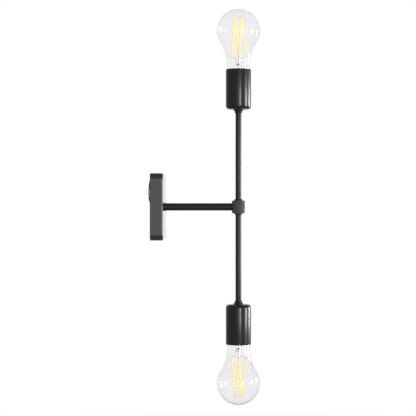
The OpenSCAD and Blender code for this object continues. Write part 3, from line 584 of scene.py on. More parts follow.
def round_curve(name, routes, radius, smoothness):
    """Curve of round section, with one open spline for each route."""
    curve = bpy.data.curves.new(name, "CURVE")
    curve.dimensions, curve.bevel_depth, curve.bevel_resolution = "3D", radius, smoothness
    curve.resolution_u, curve.use_fill_caps = 6, True
    for points in routes:
        spline = curve.splines.new("BEZIER")
        spline.bezier_points.add(len(points) - 1)
        for knot, point in zip(spline.bezier_points, points):
            knot.co = point
            knot.handle_left_type = knot.handle_right_type = "AUTO"
    return curve


def lead(name, points, radius, slot, body, *nodes):
    """Insulated lead along a route."""
    return placed(name, round_curve(name, [points], radius, 3), body, slot, nodes)


def staged(name, bm, material, unseen_by):
    """Puts a surface of the studio in the scene, unseen by some kinds of ray."""
    mesh = bpy.data.meshes.new(name)
    bm.to_mesh(mesh)
    bm.free()
    mesh.materials.append(material)
    surface = bpy.data.objects.new(name, mesh)
    bpy.context.scene.collection.objects.link(surface)
    for kind in unseen_by:
        setattr(surface, "visible_" + kind, False)


def millimetres(points):
    return [Vector(p) * MM for p in points]


def drill(radius, sheet, steps, matrix):
    """Rod that stands well out of the sheet on both sides."""
    bm = bmesh.new()
    bmesh.ops.create_cone(bm, cap_ends=True, segments=steps, radius1=radius, radius2=radius,
                          depth=4 * sheet, matrix=matrix)
    return bm


def drawn_box(low, high, corner, edge):
    """Closed box with round corners and a round front edge."""
    bm = boxed(low, high)
    rounded(bm, [e for e in bm.edges if abs(e.verts[0].co.x - e.verts[1].co.x) > MM], corner, 12)
    front = high[0] - 0.01 * MM
    rounded(bm, [e for e in bm.edges if all(v.co.x > front for v in e.verts)], edge, 6)
    bmesh.ops.recalc_face_normals(bm, faces=bm.faces)
    return bm


def arc(bm, vert, centre, angle, steps):
    """Draws an arc from a vertex by spinning it, and returns the arc's last vertex."""
    last = swept(bm, [vert], (0, 1, 0), centre, angle, steps)
    return next(g for g in last if isinstance(g, bmesh.types.BMVert))


def polar(radius, degrees, z):
    a = math.radians(degrees)
    return Vector((BAR_X + radius * math.cos(a), radius * math.sin(a), z))


def laid(bm, start, direction):
    """Moves a shape that was built up from the origin along Z to a start and direction."""
    turn = Vector(UP).rotation_difference(direction).to_matrix().to_4x4()
    bmesh.ops.transform(bm, matrix=Matrix.Translation(start) @ turn, verts=bm.verts)
    return bm


def stick(foot, top, radius):
    """Round stick with domed ends, turned and then laid between its two ends."""
    bm = bmesh.new()
    tall, dome = (top - foot).length, 0.8 * radius
    chain(bm, [(0, 0), (radius, 0, dome), (radius, tall, dome), (0, tall)])
    spun(bm, UP, (0, 0, 0), 20)
    return laid(bm, foot, (top - foot).normalized())


def gathered(shapes):
    """Puts several shapes into one mesh."""
    bm = bmesh.new()
    for shape in shapes:
        mesh = bpy.data.meshes.new("one")
        shape.to_mesh(mesh)
        shape.free()
        bm.from_mesh(mesh)
        bpy.data.meshes.remove(mesh)
    return bm


# Operators

class SCONCE_OT_stage(Operator):
    """Camera at the photograph's angle, soft studio lamps, pale floor and white surroundings"""
    bl_idname = "sconce.stage"
    bl_label = "Stage"

    # Soft boxes: angle from the camera's side, distance, width as an angle, height and brightness
    LAMPS = (
        ("far_strip", 115, 3.4, 11, 0.88, 26.4),
        ("side_strip", 73, 3.4, 11, 0.86, 21.5),
        ("front_strip", 16, 4.2, 10, 1.0, 13.2),
        ("front_card", -6, 4.2, 11, 1.1, 0.95))
    LAMP_TINT = (0.955, 0.905, 1.0)
    SENSOR_WIDTH = 36
    ROOM_SIZE = (9, 11, 8)
    ROOM_MIDDLE = (BAR_X, 0.4, 0)
    ROOM_TINT = (0.955, 0.915, 1.0)
    FLOOR_RADIUS = 9
    # The pale floor runs out into white between these distances from the bar
    FADE_START, FADE_END = 0.45, 1.0
    WHITE = {"Color": (1, 1, 1, 1), "Strength": 1.0}

    def execute(self, context):
        stage = context.scene.sconce_stage
        self.camera(context, stage)
        self.surroundings(context, stage)
        self.lamps(context)
        self.dim_room(stage)
        self.floor(stage)
        context.scene.view_settings.view_transform = "Standard"
        return {"FINISHED"}

    def camera(self, context, stage):
        data = bpy.data.cameras.new("camera")
        data.sensor_width = self.SENSOR_WIDTH
        data.lens = data.sensor_width * stage.distance / stage.view_width
        data.shift_x = (stage.centre_x - stage.camera_x) / stage.view_width
        data.shift_y = stage.centre_z / stage.view_width
        camera = bpy.data.objects.new("camera", data)
        camera.location = (stage.camera_x, -stage.distance, 0)
        camera.rotation_euler = (math.radians(90), 0, 0)
        context.scene.collection.objects.link(camera)
        context.scene.camera = camera

    def surroundings(self, context, stage):
        """White where the camera, gloss and glass see it, and a plain even light for the rest."""
        world = bpy.data.worlds.new("studio")
        context.scene.world = world
        f = Finish(world)
        white = f.node("Background", {}, self.WHITE)
        even = f.node("Background", {}, {"Color": (1, 1, 1, 1), "Strength": stage.fill})
        f.end(f.mixed(f.looked_at(), even, white), "World")

    def lamps(self, context):
        """Tall soft boxes that stand round the bar and face it."""
        target = Vector(BAR)
        for name, angle, away, spread, height, brightness in self.LAMPS:
            data = bpy.data.lights.new(name, "AREA")
            data.shape, data.size_y = "RECTANGLE", height
            data.size = 2 * away * math.tan(math.radians(spread / 2))
            data.energy = brightness * math.pi * data.size * height
            data.color = self.LAMP_TINT
            lamp = bpy.data.objects.new(name, data)
            turn = math.radians(angle)
            lamp.location = target + Vector((math.sin(turn), -math.cos(turn), 0)) * away
            lamp.rotation_euler = (target - lamp.location).to_track_quat("-Z", "Y").to_euler()
            lamp.visible_camera = False
            context.scene.collection.objects.link(lamp)

    def dim_room(self, stage):
        """Box of dim cards round the sconce, open behind it, that only reflections see."""
        material, f = new_finish("dim_card")
        f.end(f.node("Emission", {}, {"Color": rgba(self.ROOM_TINT), "Strength": stage.dim}))
        bm = block(self.ROOM_SIZE, self.ROOM_MIDDLE)
        behind = max(bm.faces, key=lambda face: face.calc_center_median().y)
        bmesh.ops.delete(bm, geom=[behind], context="FACES_ONLY")
        staged("dim_room", bm, material, ("camera", "diffuse", "transmission", "shadow"))

    def floor(self, stage):
        """Wide disc: a pale floor under the sconce that runs out into the white surroundings."""
        material, f = new_finish("pale_floor")
        away = f.band(f.from_bar(), self.FADE_START, self.FADE_END) * f.looked_at()
        matt = f.node("BsdfDiffuse", {}, {"Color": rgba(stage.floor)})
        top = f.mixed(away, matt, f.node("Emission", {}, self.WHITE))
        # Nothing is seen of the floor from below, so it doesn't hide the sconce there
        under = f.node("NewGeometry", output="Backfacing")
        f.end(f.mixed(under, top, f.node("BsdfTransparent")))
        bm = bmesh.new()
        bmesh.ops.create_circle(bm, cap_ends=True, radius=self.FLOOR_RADIUS, segments=64)
        bmesh.ops.recalc_face_normals(bm, faces=bm.faces)
        if bm.faces[:][0].normal.z < 0:
            bmesh.ops.reverse_faces(bm, faces=bm.faces)
        bmesh.ops.translate(bm, verts=bm.verts, vec=(BAR_X, 0, stage.floor_z))
        staged("floor", bm, material, ("glossy",))


class SCONCE_OT_leads(Operator):
    """Insulated leads, from the terminal block through the arm and the bar to the lampholders"""
    bl_idname = "sconce.leads"
    bl_label = "Leads"

    # Leads that go on through the arm: name, finish, side of the arm's middle along Y and Z,
    # CAD node, and route from the terminal block to the arm in millimetres
    THROUGH_ARM = (
        ("live_loop_lead", "black_lead", -1, 1, "live_leads", (
            (5.5, -8.85, -13), (5.5, -8.85, -9), (5.5, -10.5, -5.5), (6, -14, -4), (6.5, -19, -4.5),
            (7, -24, -3.5), (7.5, -27.5, 0), (7.5, -29, 5), (7.5, -29, 11), (7.5, -29, 17),
            (7.5, -29, 23), (7.2, -28.5, 28.5), (6, -27, 33), (3.2, -25, 36), (0.2, -23.5, 36),
            (-1.3, -22.5, 32.5), (-2, -22, 28), (-2.3, -22, 23.5), (-2.37, -22, 19),
            (-2.2, -22, 14), (-1.8, -21.5, 9.5), (-0.5, -20.5, 6), (2.6, -18.5, 4.6),
            (5, -14.5, 4), (6.2, -10, 3.4), (6.8, -6, 2.6), (7.8, -2.8, 1.7), (10, -1.2, 1.05))),
        ("live_short_lead", "black_lead", -1, -1, "live_leads", (
            (5.5, -7.15, -13), (5.5, -7.15, -9), (5, -6.5, -5.8), (4.8, -5, -3.2),
            (5.6, -2.8, -1.6), (7.8, -1.3, -1), (10.5, -0.95, -0.95))),
        ("neutral_upper_lead", "white_lead", 1, 1, "neutral_leads", (
            (5.5, 0.85, -13), (5.5, 0.85, -9), (4.6, 2.2, -5), (4.2, 3.4, -1),
            (4.8, 3.4, 2), (7, 2.2, 2.2), (9.3, 1.2, 1.4))),
        ("neutral_lower_lead", "white_lead", 1, -1, "neutral_leads", (
            (5.5, -0.85, -13), (5.5, -0.85, -9), (5.4, -0.6, -6), (5.4, 0.2, -3.4),
            (6.6, 0.9, -1.6), (9, 0.95, -1))))
    # The earth lead's route in millimetres
    EARTH = (
        (5.5, 8, -13), (5.5, 8, -9), (5.2, 9, -5), (4.8, 10, -1),
        (4.4, 10.2, 3), (3.6, 9.6, 6.6), (2.7, 8.6, 9), (2.5, 8, 10.2))
    RADIUS = 0.8 * MM
    # Each lead's distance from the arm's middle, along Y and Z
    SIDE = 0.95 * MM
    # Two places along X near the arm's start, from where the leads lie straight
    STRAIGHT_FROM = (ARM_START + 4 * MM, ARM_START + 12 * MM)
    # Where the leads are parted for the swivel, and the gap there
    SPLIT_X = 112.603 * MM
    SPLIT_GAP = 0.3 * MM
    # Bends from the arm into the rods and from the rods to the terminals
    BEND = 3.2 * MM
    TERMINAL_BEND = 2.2 * MM
    TERMINAL_RUN = 3.3 * MM

    def execute(self, context):
        self.in_plate()
        self.in_bar()
        return {"FINISHED"}

    def in_plate(self):
        for name, slot, y, z, node, route in self.THROUGH_ARM:
            points = millimetres(route)
            for x in (*self.STRAIGHT_FROM, self.SPLIT_X):
                points.append(Vector((x, y * self.SIDE, z * self.SIDE)))
            piece = lead(name, points, self.RADIUS, slot, "fixture", node)
        lead("earth_lead_run", millimetres(self.EARTH), self.RADIUS, "green_lead", "fixture",
             "earth_lead")

    def in_bar(self):
        """Leads that turn from the arm into each rod, and turn out again at its end to a terminal."""
        bend, out_bend = self.BEND, self.TERMINAL_BEND
        top = ROD_END + self.SPLIT_GAP
        quarter = [math.radians(22.5 * step) for step in range(5)]
        for half, up in zip(SIDES, (1, -1)):
            for kind, side in (("live", -1), ("neutral", 1)):
                y = side * self.SIDE
                points = [(self.SPLIT_X + self.SPLIT_GAP, y, self.SIDE)]
                points += [(BAR_X - bend + bend * math.sin(a), y, self.SIDE + bend - bend * math.cos(a))
                           for a in quarter]
                points.append((BAR_X, y, self.SIDE + 3 * bend))
                points += [(BAR_X, side * (self.SIDE + out_bend - out_bend * math.cos(a)),
                            top + out_bend * math.sin(a)) for a in quarter]
                terminal = self.SIDE + out_bend + self.TERMINAL_RUN
                points.append((BAR_X, side * terminal, top + out_bend))
                lead(f"{half}_{kind}_lead", [(x, y, up * z) for x, y, z in points], self.RADIUS,
                     "black_lead" if side < 0 else "white_lead", "light_bar", f"{half}_leads")


class SCONCE_OT_wall_plate(Operator):
    """Drawn sheet box, open at the wall, with holes for the arm, its screw and its hook"""
    bl_idname = "sconce.wall_plate"
    bl_label = "Wall plate"

    SCREW_HOLE_R = 1.65 * MM
    # Half the width and length of the slot for the bracket's hook
    SLOT_HALF = (1.05 * MM, 4.3 * MM)
    SMALLEST_EDGE = 0.4 * MM

    def execute(self, context):
        plate = context.scene.sconce_plate
        low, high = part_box("canopy")
        sheet = plate.sheet
        inner_low = Vector((low.x - sheet, low.y + sheet, low.z + sheet))
        inner_high = high - Vector((sheet, sheet, sheet))
        arm_hole = drill(ARM_R + FIT, sheet, 64, Matrix.Translation((high.x, 0, 0))
                              @ Matrix.Rotation(math.radians(90), 4, "Y"))
        screw_hole = drill(self.SCREW_HOLE_R, sheet, 32, Matrix.Translation((SCREW_X, 0, high.z)))
        wide, long = self.SLOT_HALF
        hook_slot = boxed((SCREW_X - wide, -long, low.z - sheet),
                          (SCREW_X + wide, long, low.z + 2 * sheet))
        inner_edge = max(plate.edge - sheet, self.SMALLEST_EDGE)
        bm = carved(drawn_box(low, high, plate.corner, plate.edge),
                    drawn_box(inner_low, inner_high, plate.corner - sheet, inner_edge),
                    arm_hole, screw_hole, hook_slot)
        piece = show("wall_plate", bm, "fixture", "plate_black", "canopy", slot="black_paint")
        rim = piece.modifiers.new("rim", "BEVEL")
        rim.width, rim.segments, rim.limit_method = plate.rim, 3, "ANGLE"
        rim.angle_limit = math.radians(60)
        # Keeps flat faces flat beside rounded edges
        flat = piece.modifiers.new("flat faces", "WEIGHTED_NORMAL")
        flat.keep_sharp, flat.weight = True, 80
        return {"FINISHED"}


class SCONCE_OT_plate_screw(Operator):
    """Domed screw with a cross recess, in the plate's top side"""
    bl_idname = "sconce.plate_screw"
    bl_label = "Plate screw"

    SHANK_R = 1.5 * MM
    # Half the length and the width of the cross recess
    RECESS_HALF = (1.4 * MM, 0.38 * MM)

    def execute(self, context):
        low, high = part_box("canopy_screw")
        z, head, shank = PLATE_TOP, (high.x - low.x) / 2, self.SHANK_R
        rise = high.z - z
        bm = bmesh.new()
        chain(bm, [(SCREW_X, low.z), (SCREW_X + shank, low.z, 0.3 * MM), (SCREW_X + shank, z),
                   (SCREW_X + head, z, 0.08 * MM), (SCREW_X + head, z + 0.2 * rise, 0.15 * MM),
                   (SCREW_X + 0.72 * head, z + 0.72 * rise, 0.4 * MM), (SCREW_X, z + rise)])
        spun(bm, UP, (SCREW_X, 0, 0), 48)
        bars = [boxed((SCREW_X - a, -b, z + 0.45 * rise), (SCREW_X + a, b, z + 2 * rise))
                for a, b in (self.RECESS_HALF, self.RECESS_HALF[::-1])]
        show("plate_screw", carved(bm, *bars), "fixture", "black_paint", "canopy_screw")
        return {"FINISHED"}


class SCONCE_OT_arm(Operator):
    """Ring at the foot of the arm; the arm's own tube keeps its CAD solid"""
    bl_idname = "sconce.arm"
    bl_label = "Arm"

    def execute(self, context):
        start, end = span("arm_ring", 0)
        outer, inner = span("arm_ring", 2)[1], ARM_R + FIT
        bm = turned_on_arm([(start, inner), (start, outer, 0.2 * MM), (end - 0.9 * MM, outer, 0.3 * MM),
                            (end, outer - 0.45 * MM, 0.1 * MM), (end, inner)])
        show("arm_foot_ring", bm, "fixture", "black_paint", "arm_ring")
        paint_node("arm_tube", "threaded_black")
        return {"FINISHED"}


class SCONCE_OT_barrel(Operator):
    """Barrel with a diamond knurl, turned ends, the rods' bore and the arm's seat"""
    bl_idname = "sconce.barrel"
    bl_label = "Knurled barrel"

    # The arm's seat: its gap, its end along X, and the bore for the pivot and the leads
    SEAT_GAP = 0.1 * MM
    SEAT_END = 111.87 * MM
    PIVOT_BORE_R = 3.03 * MM
    BORE_END = BAR_X - 1 * MM
    TIP_FLAT = 0.16 * MM
    BORE_CHAMFER = 0.3 * MM

    def execute(self, context):
        bar = context.scene.sconce_bar
        bm = bmesh.new()
        around, rows = 2 * bar.knurls, 2 * bar.knurl_rows
        low = BARREL_R - bar.knurl_depth
        end = BARREL_TOP - bar.chamfer
        chain(bm, [(BAR_X + low, -end + 2 * end * row / rows) for row in range(rows + 1)])
        spun(bm, UP, BAR, around)
        self.knurl(bm, around, rows, end, low)
        self.ends(bm, bar, low)
        clean(bm)
        outside, seat_r = BAR_X - BARREL_R - 2 * MM, ARM_R + self.SEAT_GAP
        seat = turned_on_arm([
            (outside, 0), (outside, seat_r), (self.SEAT_END, seat_r),
            (self.SEAT_END, self.PIVOT_BORE_R), (self.BORE_END, self.PIVOT_BORE_R),
            (self.BORE_END, 0)], 64)
        show("knurled_barrel", carved(bm, seat), "light_bar", "knurled_black", "hub_barrel", sharp=28)
        return {"FINISHED"}

    def knurl(self, bm, around, rows, end, low):
        """Lifts every second crossing of the grid and cuts the grooves between the others."""
        def crossing(vert):
            turn = math.atan2(vert.co.y, vert.co.x - BAR_X) / FULL_TURN * around
            return round(turn) + round((vert.co.z + end) / (2 * end) * rows)
        tips = [v for v in bm.verts if crossing(v) % 2 and abs(v.co.z) < end - 0.01 * MM]
        valleys = [v for v in bm.verts if crossing(v) % 2 == 0]
        bmesh.ops.connect_verts(bm, verts=valleys)
        widened(bm, tips, BARREL_R / low)
        rounded(bm, tips, self.TIP_FLAT, 1, "VERTICES")

    def ends(self, bm, bar, low):
        """Chamfers and flat ends, then the bore through the middle."""
        for sign in (1, -1):
            edges = [e for e in open_edges(bm) if e.verts[0].co.z * sign > 0]
            for radius, z in ((low - bar.chamfer + bar.knurl_depth, BARREL_TOP),
                              (bar.bore + self.BORE_CHAMFER, BARREL_TOP),
                              (bar.bore, BARREL_TOP - self.BORE_CHAMFER)):
                edges = drawn_to(bm, edges, radius, sign * z)
        bmesh.ops.bridge_loops(bm, edges=open_edges(bm))


class SCONCE_OT_lock_rings(Operator):
    """Lock rings with grip notches, on the rods beside the barrel"""
    bl_idname = "sconce.lock_rings"
    bl_label = "Lock rings"

    STEPS_PER_NOTCH = 12
    # Each level's radius as a share of the ring's, and its rise as a share of the ring's height
    LEVELS = ((1.0, 0.45), (0.965, 0.13), (0.885, 0.30), (0.86, 0.12), (0.74, 0.0))
    # Levels above this share keep the notches, and below it the notches fade by this much a level
    NOTCHED_ABOVE, NOTCH_LOSS = 0.9, 0.06
    # The smaller, the blunter the notches' bottoms
    NOTCH_POWER = 0.6
    # Least distance of the levels from the bore
    BORE_EDGE = 0.1 * MM
    # Rises of the bore's levels, back down to the barrel
    BORE_LEVELS = (-0.1, -0.9)

    def execute(self, context):
        bar = context.scene.sconce_bar
        show_both("{}_grip_ring", lambda: self.ring(bar), "light_bar", "black_paint", "{}_lock_ring")
        return {"FINISHED"}

    def ring(self, bar):
        """Notched circle drawn up in levels. The notches fade towards the top."""
        outer, per = span("upper_lock_ring", 0)[1] - BAR_X, self.STEPS_PER_NOTCH
        bm = bmesh.new()
        made = bmesh.ops.create_circle(bm, cap_ends=False, radius=outer, segments=per * bar.notches,
                                       matrix=Matrix.Translation((BAR_X, 0, BARREL_TOP)))
        for index, vert in enumerate(made["verts"]):
            dip = max(0.0, math.cos(FULL_TURN * (index % per) / per)) ** self.NOTCH_POWER
            widened(bm, [vert], 1 - dip * bar.notch_depth / outer)
        edges = bm.edges[:]
        for share_out, rise in (*self.LEVELS, *((None, rise) for rise in self.BORE_LEVELS)):
            edges, verts = drawn_out(bm, edges)
            for vert in verts:
                here = radius_of(vert)
                wanted = bar.bore
                if share_out:
                    notched = here / outer
                    if share_out < self.NOTCHED_ABOVE:
                        notched = min(1.0, notched + self.NOTCH_LOSS)
                    wanted = max(bar.bore + self.BORE_EDGE, share_out * outer * notched)
                widened(bm, [vert], wanted / here)
            bmesh.ops.translate(bm, vec=(0, 0, rise * (RING_TOP - BARREL_TOP)), verts=verts)
        bmesh.ops.bridge_loops(bm, edges=open_edges(bm))
        clean(bm)
        return bm


class SCONCE_OT_rods(Operator):
    """The bar's two tubes, with eased ends"""
    bl_idname = "sconce.rods"
    bl_label = "Rods"

    EASE = 0.3 * MM

    def execute(self, context):
        bar = context.scene.sconce_bar
        outer, inner = bar.rod_radius, bar.rod_radius - bar.rod_wall
        turned_both("{}_rod_tube", (
            (inner, ROD_START), (outer, ROD_START, self.EASE), (outer, ROD_END, self.EASE),
            (inner, ROD_END)), 64, "light_bar", "black_paint", "{}_rod")
        return {"FINISHED"}


class SCONCE_OT_collars(Operator):
    """Stepped cones between the rods and the cups"""
    bl_idname = "sconce.collars"
    bl_label = "Collars"

    def execute(self, context):
        bore = context.scene.sconce_bar.bore
        start, foot = COLLAR_START, (CUP_START - COLLAR_START) / 2
        ring = 5.3 * MM
        neck = ring - 0.3 * MM
        wide = span("upper_collar", 1)[1]
        turned_both("{}_cup_collar", (
            (bore, start), (bore + 0.6 * MM, start, 0.1 * MM), (ring, start + 0.3 * foot, 0.2 * MM),
            (ring, start + 0.75 * foot, 0.1 * MM), (neck, start + 0.85 * foot, 0.05 * MM),
            (neck, start + foot, 0.15 * MM), (wide - 0.3 * MM, CUP_START - 0.8 * MM, 0.05 * MM),
            (wide, CUP_START - 0.4 * MM, 0.08 * MM), (wide, CUP_START), (bore, CUP_START)),
            72, "light_bar", "black_paint", "{}_collar")
        return {"FINISHED"}


class SCONCE_OT_cups(Operator):
    """Spun socket cups, closed at the rod and open at the lamp"""
    bl_idname = "sconce.cups"
    bl_label = "Socket cups"

    def execute(self, context):
        bar = context.scene.sconce_bar
        wall, corner, hole = bar.cup_wall, bar.cup_corner, bar.bore
        inner, lip = CUP_R - wall, 0.35 * MM
        turned_both("{}_socket_cup", (
            (hole, CUP_START), (CUP_R, CUP_START, corner), (CUP_R, CUP_RIM, lip), (inner, CUP_RIM, lip),
            (inner, CUP_START + wall, corner - wall), (hole, CUP_START + wall)),
            128, "light_bar", "black_gloss", "{}_cup")
        return {"FINISHED"}


class SCONCE_OT_lamp_glass(Operator):
    """Blown bulbs and the pressed glass stems inside them"""
    bl_idname = "sconce.lamp_glass"
    bl_label = "Lamp glass"

    # The neck's end in the cap: its distance from the cap's skin, and how far down it goes
    SKIRT_GAP, SKIRT_DEPTH = 0.38 * MM, 6 * MM
    # The stem's outline in millimetres: radius, height above the neck's end, and rounding
    STEM = (
        (0, 4.6), (2.5, 4.6, 1.2), (2.5, 1.4, 0.8), (4.6, -0.6, 1.0), (11.8, -2.0, 0.2),
        (11.8, -1.3, 0.2), (5.0, 0.6, 1.6), (3.4, 3.0, 0.8), (3.4, 7.0))
    # The pinch's levels: rise in millimetres, and growth along X and Y
    PINCH = (
        (0.8, 1.06, 0.78), (0.7, 1.1, 0.74), (0.8, 1.05, 0.80), (1.9, 1.0, 0.96),
        (0.5, 0.96, 0.88), (0.25, 0.85, 0.6), (0.0, 0.2, 0.2))

    def execute(self, context):
        lamp = context.scene.sconce_lamp
        for piece in show_both("{}_blown_bulb", lambda: self.bulb(lamp), "{}_bulb", "lamp_glass",
                               "{}_bulb_glass", sharp=180):
            wall = piece.modifiers.new("glass", "SOLIDIFY")
            wall.thickness, wall.offset, wall.use_even_offset = lamp.glass, -1, True
        show_both("{}_pressed_stem", self.stem, "{}_bulb", "lamp_glass", "{}_bulb_stem", sharp=180)
        return {"FINISHED"}

    def bulb(self, lamp):
        """Outline from the crown down to the neck, then one spin."""
        bm = bmesh.new()
        centre_z = CROWN_Z - lamp.radius
        crown = bm.verts.new((BAR_X, 0, CROWN_Z))
        shoulder = arc(bm, crown, (BAR_X, 0, centre_z), math.radians(90) + lamp.shoulder, 44)
        hollow = (lamp.radius * math.cos(lamp.shoulder) - lamp.neck_radius) / (
            math.cos(lamp.neck_slope) - math.cos(lamp.shoulder))
        away = Vector((math.cos(lamp.shoulder), 0, -math.sin(lamp.shoulder)))
        hollow_centre = shoulder.co + hollow * away
        neck = arc(bm, shoulder, hollow_centre, lamp.neck_slope - lamp.shoulder, 16)
        neck_r = lamp.neck_radius - (neck.co.z - NECK_Z) * math.tan(lamp.neck_slope)
        skirt = CAP_R - self.SKIRT_GAP
        chain(bm, [(BAR_X + neck_r, NECK_Z, 1.0 * MM), (BAR_X + skirt, CAP_TOP + 0.2 * MM, 0.6 * MM),
                   (BAR_X + skirt, NECK_Z - self.SKIRT_DEPTH)], start=neck)
        spun(bm, UP, BAR, 112)
        return bm

    def stem(self):
        """Flared foot and tube, turned, then drawn out into the flat pinch."""
        bm = bmesh.new()
        chain(bm, [(BAR_X + radius * MM, NECK_Z + z * MM, *(r * MM for r in rounding))
                   for radius, z, *rounding in self.STEM])
        spun(bm, UP, BAR, 48)
        edges = [e for e in open_edges(bm) if e.verts[0].co.z > NECK_Z + 6 * MM]
        for rise, wide, deep in self.PINCH:
            edges, verts = drawn_out(bm, edges)
            widened(bm, verts, wide, deep)
            bmesh.ops.translate(bm, vec=(0, 0, rise * MM), verts=verts)
        bmesh.ops.contextual_create(bm, geom=edges)
        clean(bm)
        return bm


class SCONCE_OT_filaments(Operator):
    """Coated filaments with their end tabs, and the wires that carry them"""
    bl_idname = "sconce.filaments"
    bl_label = "Filaments"

    FOOT_ANGLES = (180, 90, 270, 0)
    TOP_ANGLES = (197, 157, 337, 17)
    # Distance of the feet and the tops from the lamp's axis, and their height above the cup's rim
    FOOT_R, FOOT_RISE = 10.2 * MM, 18.1 * MM
    TOP_R, TOP_RISE = 4.5 * MM, 71 * MM
    TAB_SIZE, TAB_EDGE, TAB_OUT = (1.1 * MM, 0.5 * MM, 1.6 * MM), 0.12 * MM, 0.35 * MM
    # Places along X where the four wires enter the pinch, and the pinch's top
    PINCH_X = (-3 * MM, -0.5 * MM, 0.5 * MM, 3 * MM)
    PINCH_Z = CAP_TOP + 14.4 * MM
    # How deep the wires and the two ends of the clad leads lie in the pinch
    WIRE_DEPTH, CLAD_DEPTHS, CLAD_R = 1.2 * MM, (2.6 * MM, 0.7 * MM), 0.34 * MM
    # A wire's elbow below the foot: its drop, its height and its place on the way to the foot
    ELBOW_DROP, ELBOW_RISE, ELBOW_SHARE = 1.7 * MM, 1.6 * MM, 0.45
    # Distance of the wires from the feet and the tops
    END_GAP, TOP_GAP = 0.7 * MM, 0.75 * MM

    def execute(self, context):
        lamp = context.scene.sconce_lamp
        feet = [polar(self.FOOT_R, a, CUP_RIM + self.FOOT_RISE) for a in self.FOOT_ANGLES]
        tops = [polar(self.TOP_R, a, CUP_RIM + self.TOP_RISE) for a in self.TOP_ANGLES]
        ends = list(zip(feet, tops)), list(zip(tops, feet))
        show_both("{}_coated_filaments",
                  lambda: gathered(stick(foot, top, lamp.filament) for foot, top in ends[0]),
                  "{}_bulb", "phosphor", "{}_bulb_filaments")
        show_both("{}_filament_tabs",
                  lambda: gathered(self.tab(end, other) for end, other in ends[0] + ends[1]),
                  "{}_bulb", "cap_nickel")
        for half, up in zip(SIDES, (1, -1)):
            self.wires(half, up, lamp, feet, tops)
        return {"FINISHED"}

    def tab(self, end, other):
        """Flat metal tab that stands out of a stick's end, away from its other end."""
        bm = block(self.TAB_SIZE, (0, 0, self.TAB_OUT))
        rounded(bm, bm.edges[:], self.TAB_EDGE, 2)
        return laid(bm, end, (end - other).normalized())

    def wires(self, half, up, lamp, feet, tops):
        """Wires from the pinch to the feet and across the tops, and the clad leads in the pinch."""
        def over(x, z):
            return Vector((BAR_X + x, 0, z))
        runs = []
        for x, foot in zip(self.PINCH_X, feet):
            level = foot.z - self.ELBOW_DROP
            runs.append([over(x, self.PINCH_Z - self.WIRE_DEPTH), over(x, level - self.ELBOW_RISE),
                         over(x, level).lerp(Vector((foot.x, foot.y, level)), self.ELBOW_SHARE),
                         foot - Vector((0, 0, self.END_GAP))])
        rise = Vector((0, 0, self.TOP_GAP))
        for a, b in (tops[:2], tops[2:]):
            runs.append([a + rise, (a + b) / 2 + 1.3 * rise, b + rise])
        clad = [[over(x, self.PINCH_Z - depth) for depth in self.CLAD_DEPTHS] for x in self.PINCH_X]
        for name, routes, radius, finish, nodes in (
                ("support_wires", runs, lamp.wire, "wire_nickel", (f"{half}_bulb_wires",)),
                ("clad_leads", clad, self.CLAD_R, "copper_wire", ())):
            routes = [[(p.x, up * p.y, up * p.z) for p in points] for points in routes]
            placed(f"{half}_{name}", round_curve(f"{half}_{name}", routes, radius, 2), f"{half}_bulb",
                   finish, nodes)


